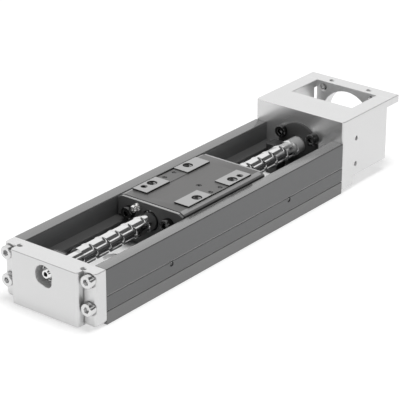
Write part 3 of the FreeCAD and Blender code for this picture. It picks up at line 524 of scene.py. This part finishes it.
downward = (0, 0, -1)
cover_holes = [(mouth, downward) for mouth in cover_mouths]
cover_threads = bmesh.new()
tap(cover_threads, cover_holes, depth=8.0 * MM, start=1.5 * MM, **small_tap)
tapped_aluminium = worked_surface("tapped_aluminium", grey(0.80), roughness=0.20, marks=satin_marks,
                                  contrast=0.05, relief=0.001 * MM)
fit(new_piece("front_plate_threads", cover_threads), tapped_aluminium, "base", "end_aluminium")

# Front plate screws: four bright plated socket head screws in spot faces on the ears. The head is
# turned and knurled round its side, and its hexagon socket is broached.


def turned(profile, steps=60):
    """A turned piece about the X axis, from its profile of places along X and radii."""
    mesh = bmesh.new()
    points = [mesh.verts.new((along, reach, 0)) for along, reach in profile]
    edges = [mesh.edges.new(pair) for pair in zip(points, points[1:])]
    bmesh.ops.spin(mesh, geom=points + edges, cent=(0, 0, 0), axis=(1, 0, 0), angle=2 * math.pi,
                   steps=steps, use_merge=True)
    bmesh.ops.remove_doubles(mesh, verts=mesh.verts, dist=0.5 * touching)
    bmesh.ops.recalc_face_normals(mesh, faces=mesh.faces)
    return mesh


def from_x_axis(point):
    return math.hypot(point.y, point.z)


def to_hexagon(points, flat):
    """Moves points of a circle about the X axis on to a hexagon with its flats at that distance."""
    side = math.pi / 3
    for point in points:
        angle = math.atan2(point.co.z, point.co.y)
        off_flat = (angle + side / 2) % side - side / 2
        scale = flat / math.cos(off_flat) / from_x_axis(point.co)
        point.co.y *= scale
        point.co.z *= scale


def broach(mesh, start, end, corner_radius, reach):
    """Gives the round socket from start to end, inside a radius, six flats."""
    axis = 0.05 * MM
    wall = [point for point in mesh.verts
            if start <= point.co.x <= end and axis < from_x_axis(point.co) < reach]
    to_hexagon(wall, corner_radius * math.cos(math.radians(30)))


head_radius = 3.5 * MM
head_height = 4.0 * MM
head_rim = 0.45 * MM
knurl = 0.06 * MM
teeth = 72
shank_radius = 2.0 * MM
socket_corner = 1.73 * MM
socket_depth = 2.2 * MM
socket_lip = 0.15 * MM


def socket_screw(length):
    """A socket head screw that points along +X, with the seat of its head at the origin.

    Its socket takes the second finish of the piece and the rim of its head the third.
    """
    top = -head_height
    socket_floor = socket_depth - head_height
    profile = [(socket_floor + 0.5 * socket_corner, 0), (socket_floor, socket_corner),
               (top + socket_lip, socket_corner), (top, socket_corner + socket_lip),
               (top, head_radius - head_rim), (top + 0.5 * head_rim, head_radius - 0.25 * head_rim),
               (top + head_rim, head_radius), (-2 * socket_lip, head_radius),
               (0, head_radius - socket_lip), (0, shank_radius),
               (length - head_rim, shank_radius), (length, shank_radius - head_rim), (length, 0)]
    mesh = turned(profile, teeth)
    broach(mesh, top, socket_floor + skin, socket_corner, socket_corner + 0.5 * socket_lip)
    for point in mesh.verts:
        radius = from_x_axis(point.co)
        tooth = round(math.atan2(point.co.z, point.co.y) * teeth / (2 * math.pi))
        if radius > head_radius - 10 * touching and tooth % 2:
            point.co.y *= 1 - knurl / radius
            point.co.z *= 1 - knurl / radius
    for face in mesh.faces:
        middle = face.calc_center_median()
        radius = from_x_axis(middle)
        if radius < socket_corner and middle.x < socket_floor + socket_corner:
            face.material_index = 1
        elif radius > head_radius - head_rim and middle.x < top + head_rim:
            face.material_index = 2
    return mesh


def socket_screws(name, length, seats, first_turn, turn_step):
    """A piece of like screws. A seat is a head's place and the way along X that the screw points."""
    screws = bmesh.new()
    screw = socket_screw(length)
    for count, (seat, way) in enumerate(seats):
        stamp(screws, screw, seat, (way, 0, 0), math.radians(first_turn + turn_step * count))
    screw.free()
    return new_piece(name, screws)


bright_plating = worked_surface("bright_plating", grey(0.68), roughness=0.20, marks=satin_marks,
                                contrast=0.05, relief=0.001 * MM)
socket_shade = worked_surface("socket_shade", grey(0.16), roughness=0.40, marks=satin_marks,
                              contrast=0.1, relief=0.001 * MM)
spot_face = -106.9 * MM
ear_screw_side = 26.2 * MM
ear_screw_levels = (26.0 * MM, 11.0 * MM)
ear_seats = [((spot_face, side * ear_screw_side, level), 1)
             for side in (-1, 1) for level in ear_screw_levels]
plate_screws = socket_screws("plate_socket_screws", length=17.9 * MM, seats=ear_seats, first_turn=11,
                             turn_step=23)
fit(plate_screws, bright_plating, "base", "bright_fastener", "front_plate_screws",
    spots=(socket_shade, bright_plating))

# Front bearing: a small ball bearing of polished steel behind the keyhole bore. A pressed steel shield
# covers its balls, and an open ring with two eyes sits in a groove on the shaft in front of it.


def finish_nodes(material, *nodes):
    """Gives nodes that keep their own shape a finish."""
    for node in nodes:
        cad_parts[node].material_slots[0].material = material


def in_mm(profile):
    """A profile that is written in millimetres."""
    return [(along * MM, reach * MM) for along, reach in profile]


def to_screw_axis(mesh):
    """Lifts a turned piece from the X axis to the screw's axis."""
    bmesh.ops.translate(mesh, vec=(0, 0, screw_height), verts=mesh.verts)


fine_marks = (500.0, 500.0, 500.0)
bearing_steel = worked_surface("bearing_steel", grey(0.70), roughness=0.14, marks=fine_marks,
                               contrast=0.05, relief=0.0005 * MM)
finish_nodes(bearing_steel, "front_bearing_outer_ring", "front_bearing_balls", "front_bearing_inner_ring")
shield_profile = in_mm([(-106.70, 4.2), (-106.70, 5.45), (-106.95, 5.45), (-106.95, 5.0), (-106.80, 4.8),
                        (-106.80, 4.2), (-106.70, 4.2)])
shield = turned(shield_profile)
to_screw_axis(shield)
fit(new_piece("front_bearing_shield", shield), bearing_steel, "base", "bearing_steel")

clip_front = -107.72 * MM
clip_back = -107.02 * MM
clip_bore = 2.74 * MM
clip_rim = 3.8 * MM
clip_mouth = math.radians(36)
eye_bore = 0.4 * MM
eye_rim = 0.85 * MM
eye_circle = 3.42 * MM
circlip = bmesh.new()
section = [circlip.verts.new((along, 0, reach)) for along, reach in
           ((clip_front, clip_bore), (clip_front, clip_rim), (clip_back, clip_rim), (clip_back, clip_bore))]
circlip.faces.new(section)
bmesh.ops.rotate(circlip, cent=(0, 0, 0), matrix=Matrix.Rotation(clip_mouth / 2, 3, "X"), verts=section)
bmesh.ops.spin(circlip, geom=circlip.verts[:] + circlip.edges[:] + circlip.faces[:], cent=(0, 0, 0),
               axis=(1, 0, 0), angle=2 * math.pi - clip_mouth, steps=60)
bmesh.ops.recalc_face_normals(circlip, faces=circlip.faces)
eye = turned([(clip_front, eye_bore), (clip_front, eye_rim), (clip_back, eye_rim), (clip_back, eye_bore),
              (clip_front, eye_bore)], steps=24)
for angle in (-clip_mouth / 2, clip_mouth / 2):
    stamp(circlip, eye, (0, -math.sin(angle) * eye_circle, math.cos(angle) * eye_circle), (1, 0, 0))
eye.free()
to_screw_axis(circlip)
spring_steel = worked_surface("spring_steel", grey(0.16), roughness=0.22, marks=satin_marks,
                              contrast=0.1, relief=0.001 * MM)
fit(new_piece("circlip_ring", circlip), spring_steel, "screw", "black_fastener", "shaft_circlip")

# Motor housing: milled from one block of the same satin aluminium. The face towards the carriage is
# fly cut smoother, so that it mirrors softly. Four socket screws deep in its back hold it on the
# rail's end.
wall_face = 100.0 * MM
flange_face = 146.6 * MM
cap_seat_radius = 17 * MM
motor_circle = 23.0 * MM
lid_hole_along = 150.3 * MM
lid_hole_side = 12.8 * MM
side_hole_along = 113.2 * MM
side_hole_levels = (29.3 * MM, 13.9 * MM)
counterbore_floor = 118.0 * MM
wall_screw_side = 25.0 * MM
wall_screw_levels = (24.5 * MM, 11.3 * MM)
housing_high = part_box("motor_housing")[1]
housing_finish = worked_surface("housing_aluminium", grey(0.76), roughness=0.36, marks=satin_marks,
                                contrast=0.04, relief=0.001 * MM, metallic=0.8)
tree = housing_finish.node_tree
along = coordinates(tree)["X"]
on_wall = below(tree, along, wall_face + skin)
refinish(housing_finish, on_wall, grey(0.76), roughness=0.26, metallic=0.7)
# Painted light: the flange face at the back of the window is painted lighter and less metallic than the
# rest.
flange_painted_light = between(tree, along, flange_face - 2 * skin, flange_face + 2 * skin)
refinish(housing_finish, flange_painted_light, grey(0.80), roughness=0.36, metallic=0.45)


def from_screw_axis(point):
    return math.hypot(point.y, point.z - screw_height)


def in_cap_seat(middle):
    return abs(middle.x - wall_face) < skin and from_screw_axis(middle) < cap_seat_radius


motor_reach = motor_circle * math.cos(math.radians(45))
motor_holes = [(side * motor_reach, screw_height + way * motor_reach)
               for side in (-1, 1) for way in (-1, 1)]
motor_mouths = [(face, *hole) for face in (flange_face, housing_high.x) for hole in motor_holes]
lid_mouths = [(lid_hole_along, side * lid_hole_side, housing_high.z) for side in (-1, 1)]
housing = eased_copy("housing_body", "motor_housing", end_chamfer, crisp=in_cap_seat,
                     mouths=near((lid_mouths, 1.5 * MM), (motor_mouths, 2.3 * MM)),
                     mouth_width=mouth_chamfer)
fit(housing, housing_finish, "base", "end_aluminium", "motor_housing")

lid_holes = [(mouth, downward) for mouth in lid_mouths]
side_holes = [((side_hole_along, side * housing_high.y, level), (0, -side, 0))
              for side in (-1, 1) for level in side_hole_levels]
flange_holes = [((flange_face, *hole), (1, 0, 0)) for hole in motor_holes]
housing_threads = bmesh.new()
tap(housing_threads, lid_holes + side_holes, depth=3.0 * MM, start=1.2 * MM, **small_tap)
tap(housing_threads, flange_holes, radius=2.0 * MM, pitch=0.7 * MM, depth=housing_high.x - flange_face,
    start=0.6 * MM, steps=32)
fit(new_piece("housing_tapped_threads", housing_threads), tapped_aluminium, "base", "end_aluminium")

black_oxide = worked_surface("black_oxide", grey(0.10), roughness=0.18, marks=satin_marks,
                             contrast=0.15, relief=0.001 * MM)
# Painted shade: the sockets of the black screws are painted near black.
painted_socket_shade = worked_surface("painted_socket_shade", grey(0.015), roughness=0.40, marks=satin_marks,
                              contrast=0.15, relief=0.001 * MM, metallic=0.5)
# Rubbed wear and painted glint: the rims of the black screw heads are painted pale and less metallic, so
# that they shine out.
rim_wear_and_glint = worked_surface("rim_wear_and_glint", grey(0.80), roughness=0.22, marks=satin_marks,
                            contrast=0.15, relief=0.001 * MM, metallic=0.2)
black_spots = (painted_socket_shade, rim_wear_and_glint)
wall_seats = [((counterbore_floor, side * wall_screw_side, level), -1)
              for side in (-1, 1) for level in wall_screw_levels]
wall_screws = socket_screws("housing_socket_screws", length=29.0 * MM, seats=wall_seats, first_turn=17,
                            turn_step=31)
fit(wall_screws, black_oxide, "base", "black_fastener", "housing_screws", spots=black_spots)

# Fixed bearings and their cap: a pair of ball bearings held in the wall by a turned aluminium disc, let
# in flush, with the housing's finish and four black socket screws. A black rubber disc lies on the cap,
# and its lip closes on the screw.
finish_nodes(bearing_steel, "fixed_bearing_outer_rings", "fixed_bearing_balls", "fixed_bearing_inner_rings")
cap_rim_start = 15 * MM
cap_chamfer = 0.15 * MM


def cap_rim(middle):
    return from_screw_axis(middle) > cap_rim_start


cap = eased_copy("bearing_cap_disc", "bearing_cap", cap_chamfer, crisp=cap_rim)
fit(cap, housing_finish, "base", "end_aluminium", "bearing_cap")

moulded_marks = (2500.0, 2500.0, 2500.0)
black_rubber = worked_surface("black_rubber", grey(0.05), roughness=0.45, marks=moulded_marks,
                              contrast=0.2, relief=0.005 * MM, metallic=0.0)
lip_profile = in_mm([(98.6, 5.3), (98.6, 12.5), (98.75, 12.85), (99.1, 13.0), (100.0, 13.0), (100.0, 5.55),
                     (101.5, 5.55), (101.5, 5.2), (98.8, 5.15), (98.6, 5.3)])
lip_seal = turned(lip_profile)
to_screw_axis(lip_seal)
fit(new_piece("cap_lip_seal", lip_seal), black_rubber, "base", "seal_rubber")

cap_circle = 12.1 * MM
cap_angles = [math.radians(degrees) for degrees in (30, 150, 210, 330)]
cap_seats = [((wall_face, cap_circle * math.cos(angle), screw_height + cap_circle * math.sin(angle)), 1)
             for angle in cap_angles]
cap_screws = socket_screws("cap_socket_screws", length=12.0 * MM, seats=cap_seats, first_turn=8,
                           turn_step=19)
fit(cap_screws, black_oxide, "base", "black_fastener", "bearing_cap_screws", spots=black_spots)

# Ball screw: one polished bar of hardened steel with a right-hand ball groove of 10 mm lead, nearly as
# bright as the lands, and satin in front of the cap. Its ends are turned down, chamfered and centre
# drilled. A collar and a nut clamp the bearings on it.


def hypotenuse(tree, first, second):
    """The distance that two steps at right angles make."""
    squares = reckon(tree, "ADD", reckon(tree, "MULTIPLY", first, first),
                     reckon(tree, "MULTIPLY", second, second))
    return reckon(tree, "SQRT", squares)


thread_start = -87 * MM
thread_end = 103 * MM
groove_edge = 4.75 * MM
groove_softness = 0.15 * MM
satin_start = 88.5 * MM
satin_softness = 2.5 * MM
centre_start = -110.5 * MM
centre_length = 3.0 * MM
centre_radius = 1.3 * MM
polished_steel = worked_surface("polished_steel", grey(0.80), roughness=0.10, marks=(120.0, 900.0, 900.0),
                                contrast=0.05, relief=0.0005 * MM)
tree = polished_steel.node_tree
place = coordinates(tree)
along = place["X"]
from_axis = hypotenuse(tree, place["Y"], reckon(tree, "SUBTRACT", place["Z"], screw_height))
in_groove = both(tree, between(tree, along, thread_start, thread_end),
                 below(tree, from_axis, groove_edge, groove_softness))
refinish(polished_steel, in_groove, grey(0.74), roughness=0.14)
before_cap = both(tree, above(tree, along, satin_start, satin_softness), below(tree, along, wall_face))
refinish(polished_steel, before_cap, grey(0.80), roughness=0.16, metallic=0.60)
# Painted shade: the front centre hole is painted near black.
centre_hole_shade = both(tree, below(tree, from_axis, centre_radius),
                 between(tree, along, centre_start, centre_start + centre_length))
refinish(polished_steel, centre_hole_shade, grey(0.03), roughness=0.4)


def end_faces(mesh, end):
    """The flat faces at one end of a bar."""
    return [face for face in mesh.faces if all(abs(point.co.x - end) < touching for point in face.verts)]


shaft_ends = ((-110.6 * MM, 0.9 * MM), (138.0 * MM, 0.3 * MM))
countersink_radius = 1.35 * MM
countersink_depth = 0.6 * MM
pilot_depth = 1.2 * MM
shaft = merged_copy("ball_screw")
for end, chamfer in shaft_ends:
    tip = bmesh.ops.dissolve_faces(shaft, faces=end_faces(shaft, end))["region"][0]
    ease(shaft, tip.edges[:], chamfer)
    tip = max(end_faces(shaft, end), key=lambda face: face.calc_area())
    reach = max(from_screw_axis(point.co) for point in tip.verts)
    bmesh.ops.inset_individual(shaft, faces=[tip], thickness=reach - countersink_radius)
    inward = 1 if end < 0 else -1
    hole = bmesh.ops.extrude_discrete_faces(shaft, faces=[tip])["faces"][0]
    bmesh.ops.translate(shaft, vec=(inward * countersink_depth, 0, 0), verts=hole.verts)
    bmesh.ops.scale(shaft, vec=(1, 0.5, 0.5), verts=hole.verts,
                    space=Matrix.Translation((0, 0, -screw_height)))
    hole = bmesh.ops.extrude_discrete_faces(shaft, faces=[hole])["faces"][0]
    bmesh.ops.translate(shaft, vec=(inward * pilot_depth, 0, 0), verts=hole.verts)
fit(new_piece("screw_shaft", shaft), polished_steel, "screw", "screw_steel", "ball_screw")
collar = eased_copy("clamp_collar", "spacer_collar", width=0.2 * MM)
fit(collar, bearing_steel, "screw", "screw_steel", "spacer_collar")
clamp_nut = eased_copy("clamp_nut", "lock_nut", width=0.3 * MM)
fit(clamp_nut, black_oxide, "screw", "black_fastener", "lock_nut")

# Carriage block: steel with the rail's dark finish, milled lengthwise, with four pads ground bright on
# top. The pads' sides are painted near black and the flanks darker, as painted shade, and the top's outer
# edges and shoulders lighter, as painted highlight. Tapped holes take the load, reamed ones take dowels,
# and a grub screw closes a grease hole.
carriage_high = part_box("carriage_block")[1]
carriage_x = 4.0 * MM
carriage_top = 31.6 * MM
ground_depth = 0.06 * MM
pad_softness = 0.02 * MM
middle_strip_top = 31.85 * MM
middle_strip_half = 7.5 * MM
shoulder_highlight_start = 18.3 * MM
flank_shade_start = 20.6 * MM
load_step = 15.0 * MM
dowel_along = 21.2 * MM
dowel_side = 15.3 * MM
strip_hole_along = 4.0 * MM
strip_hole_side = 15.45 * MM
carriage_chamfer = 0.15 * MM
pad_mouth_chamfer = 0.4 * MM

carriage_steel = worked_surface("carriage_steel", grey(0.155, 0.01), roughness=0.42, marks=lengthwise,
                                metallic=0.6)
tree = carriage_steel.node_tree
place = coordinates(tree)
height = place["Z"]
from_middle = off(tree, place["X"], carriage_x)
across = reckon(tree, "ABSOLUTE", place["Y"])
on_pads = above(tree, height, carriage_high.z - ground_depth, pad_softness)
refinish(carriage_steel, on_pads, grey(0.43), roughness=0.36)
off_strip = reckon(tree, "MAXIMUM", above(tree, from_middle, middle_strip_half + skin),
                   above(tree, height, middle_strip_top + skin))
# Painted shade: the pads' sides, off the middle strip, are painted near black.
pad_side_shade = between(tree, height, carriage_top + ground_depth, carriage_high.z - 2 * ground_depth)
refinish(carriage_steel, both(tree, pad_side_shade, off_strip), grey(0.010), roughness=0.5)
# Painted highlight: the top's outer edges and the sloped shoulders are painted lighter.
shoulder_highlight = both(tree, above(tree, across, shoulder_highlight_start),
                   below(tree, height, carriage_top + ground_depth))
refinish(carriage_steel, shoulder_highlight, grey(0.32), roughness=0.36)
# Painted shade: the flanks below the shoulders are painted darker.
refinish(carriage_steel, above(tree, across, flank_shade_start), grey(0.11), roughness=0.40)
small_holes = ((dowel_along, dowel_side, 1.6 * MM, 32.3 * MM),
               (strip_hole_along, strip_hole_side, 1.4 * MM, 31.7 * MM))
for hole_along, hole_side, radius, top in small_holes:
    from_hole = hypotenuse(tree, reckon(tree, "SUBTRACT", from_middle, hole_along),
                           reckon(tree, "SUBTRACT", across, hole_side))
    in_hole = both(tree, below(tree, from_hole, radius), below(tree, height, top))
    refinish(carriage_steel, in_hole, grey(0.70), roughness=0.18, metallic=1.0)
at_end = above(tree, from_middle, carriage_high.x - carriage_x - 3 * skin)
refinish(carriage_steel, at_end, grey(0.03), roughness=0.45)

load_mouths = [(carriage_x + along * load_step, side * load_step, carriage_high.z)
               for along in (-1, 1) for side in (-1, 1)]
dowel_mouths = [(carriage_x - side * dowel_along, side * dowel_side, carriage_high.z) for side in (-1, 1)]
carriage = eased_copy("carriage_body", "carriage_block", carriage_chamfer,
                      mouths=near((load_mouths, 3.0 * MM), (dowel_mouths, 2.0 * MM)),
                      mouth_width=pad_mouth_chamfer)
fit(carriage, carriage_steel, "carriage", "carriage_steel", "carriage_block")

thread_drop = Vector((0, 0, 0.3 * MM))
load_holes = [(Vector(mouth) - thread_drop, downward) for mouth in load_mouths]
strip_holes = [((carriage_x + along * strip_hole_along, side * strip_hole_side, middle_strip_top), downward)
               for along in (-1, 1) for side in (-1, 1)]
carriage_threads = bmesh.new()
tap(carriage_threads, load_holes, radius=2.5 * MM, pitch=0.8 * MM, depth=10.0 * MM, start=0.25 * MM,
    steps=32)
tap(carriage_threads, strip_holes, depth=6.0 * MM, start=1.5 * MM, **small_tap)
fit(new_piece("carriage_tapped_threads", carriage_threads), tapped_steel, "carriage", "carriage_steel")

grub_place = (3.4 * MM, -5.0 * MM, 31.35 * MM)
grub_profile = in_mm([(0.9, 0), (0.7, 0.6), (0.1, 0.6), (0, 0.7), (0, 1.2), (0.2, 1.38), (1.5, 1.38),
                      (1.5, 0)])
grub_screw = turned(grub_profile, steps=36)
broach(grub_screw, start=0.0, end=0.75 * MM, corner_radius=0.62 * MM, reach=0.65 * MM)
grub = bmesh.new()
stamp(grub, grub_screw, grub_place, downward)
grub_screw.free()
fit(new_piece("grease_hole_grub", grub), black_oxide, "carriage", "black_fastener")

# Carriage ends: moulded black caps turn the balls round, and a rubber faced seal plate with a bright
# upper edge is screwed over each with two black socket screws.
front_seal_face = -31.1 * MM
rear_seal_face = 39.1 * MM
seal_edge = 31.15 * MM
seal_screw_side = 12.8 * MM
seal_screw_level = 24.0 * MM
black_plastic = worked_surface("black_plastic", grey(0.022), roughness=0.5, marks=moulded_marks,
                               contrast=0.2, relief=0.004 * MM, metallic=0.0)
seal_rubber = worked_surface("seal_rubber", grey(0.125), roughness=0.55, marks=moulded_marks,
                             contrast=0.2, relief=0.004 * MM, metallic=0.0)
tree = seal_rubber.node_tree
on_upper_edge = above(tree, coordinates(tree)["Z"], seal_edge)
refinish(seal_rubber, on_upper_edge, grey(0.40), roughness=0.35, metallic=0.6)
for end in ("front", "rear"):
    return_cap = eased_copy(end + "_ball_return", end + "_return_cap", carriage_chamfer)
    fit(return_cap, black_plastic, "carriage", "black_plastic", end + "_return_cap")
    seal = eased_copy(end + "_seal_plate", end + "_end_seal", carriage_chamfer)
    fit(seal, seal_rubber, "carriage", "seal_rubber", end + "_end_seal")

seal_seats = [((face, side * seal_screw_side, seal_screw_level), way)
              for face, way in ((front_seal_face, 1), (rear_seal_face, -1)) for side in (-1, 1)]
seal_screws = socket_screws("seal_socket_screws", length=10.0 * MM, seats=seal_seats, first_turn=14,
                            turn_step=27)
fit(seal_screws, black_oxide, "carriage", "black_fastener", "end_seal_screws", spots=black_spots)

# Grease nipple: turned from brass, nickel plated, with a hexagon foot and a ball-shaped head that has
# a fine grease hole. It screws into the carriage's front end.
nickel_plating = worked_surface("nickel_plating", grey(0.88, 0.01), roughness=0.22, marks=fine_marks,
                                contrast=0.05, relief=0.0005 * MM)
nipple_place = (front_seal_face, 7.5 * MM, 28.2 * MM)
nipple_flat = 2.0 * MM
foot_start = 2.2 * MM
nipple_profile = in_mm([(-4.2, 0), (-4.2, 0.35), (-4.9, 0.45), (-5.0, 0.6), (-4.9, 1.3), (-4.5, 1.75),
                        (-3.8, 1.95), (-3.1, 1.75), (-2.6, 1.3), (-1.95, 1.3), (-1.8, 1.9), (-1.55, 2.28),
                        (-0.2, 2.28), (0, 2.0), (0, 1.4), (5.3, 1.4), (5.58, 1.1), (5.58, 0)])
nipple = turned(nipple_profile, steps=48)
to_hexagon([point for point in nipple.verts if from_x_axis(point.co) > foot_start], nipple_flat)
bmesh.ops.translate(nipple, vec=nipple_place, verts=nipple.verts)
fit(new_piece("grease_fitting", nipple), nickel_plating, "carriage", "nipple_brass", "grease_nipple")

# Ball nut and balls: the nut is ground steel in the carriage's bore, with balls in its thread, and both
# are painted dark as painted shade. Bright steel balls run in the four rows of the guide, where plastic
# strips keep them in.
finish_nodes(bearing_steel, "guide_balls_left", "guide_balls_right")
# Painted shade: the nut and the balls in its thread are painted dark.
nut_steel_in_shade = worked_surface("nut_steel_in_shade", grey(0.10), roughness=0.45, marks=lengthwise)
finish_nodes(nut_steel_in_shade, "ball_nut", "nut_balls")
cage_plastic = worked_surface("cage_plastic", grey(0.30, 0.06), roughness=0.5, marks=moulded_marks,
                              contrast=0.1, relief=0.003 * MM, metallic=0.0)
finish_nodes(cage_plastic, "ball_retainer_left", "ball_retainer_right")

# Stops: a block at each end of the trough, steel in front and black plastic at the rear, with a rubber
# buffer bonded to the side that meets the carriage. A countersunk screw from below holds each.
buffer = 1.0 * MM
stop_chamfer = 0.4 * MM
stop_steel = worked_surface("stop_steel", grey(0.20), roughness=0.42, marks=lengthwise, metallic=0.6)


def stop_piece(name, start, finish, low, high):
    """A block with eased edges, from start to finish along the rail."""
    mesh = bmesh.new()
    bmesh.ops.create_cube(mesh, size=1.0)
    bmesh.ops.scale(mesh, vec=(finish - start, high.y - low.y, high.z - low.z), verts=mesh.verts)
    middle = ((start + finish) / 2, (low.y + high.y) / 2, (low.z + high.z) / 2)
    bmesh.ops.translate(mesh, vec=middle, verts=mesh.verts)
    ease(mesh, mesh.edges[:], stop_chamfer)
    return new_piece(name, mesh)


low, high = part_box("front_stop")
seam = high.x - buffer
front_block = stop_piece("front_stop_block", low.x, seam, low, high)
fit(front_block, stop_steel, "base", "stop_rubber", "front_stop")
front_buffer = stop_piece("front_stop_buffer", seam, high.x, low, high)
fit(front_buffer, black_rubber, "base", "stop_rubber")
low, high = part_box("rear_stop")
seam = low.x + buffer
rear_block = stop_piece("rear_stop_block", seam, high.x, low, high)
fit(rear_block, black_plastic, "base", "stop_rubber", "rear_stop")
rear_buffer = stop_piece("rear_stop_buffer", low.x, seam, low, high)
fit(rear_buffer, black_rubber, "base", "stop_rubber")

stop_screw_side = 9.8 * MM
stop_screw_along = (-93.75 * MM, 91.6 * MM)
flat_profile = in_mm([(1.3, 0), (1.2, 0.85), (0, 0.95), (0, 2.85), (0.15, 3.0), (1.6, 1.5), (11.7, 1.5),
                      (12.0, 1.2), (12.0, 0)])
flat_screw = turned(flat_profile, steps=48)
broach(flat_screw, start=0.0, end=1.25 * MM, corner_radius=0.92 * MM, reach=1.0 * MM)
flat_screws = bmesh.new()
for along in stop_screw_along:
    stamp(flat_screws, flat_screw, (along, stop_screw_side, 0.0), (0, 0, 1))
flat_screw.free()
fit(new_piece("stop_flat_screws", flat_screws), black_oxide, "base", "black_fastener", "stop_screws")
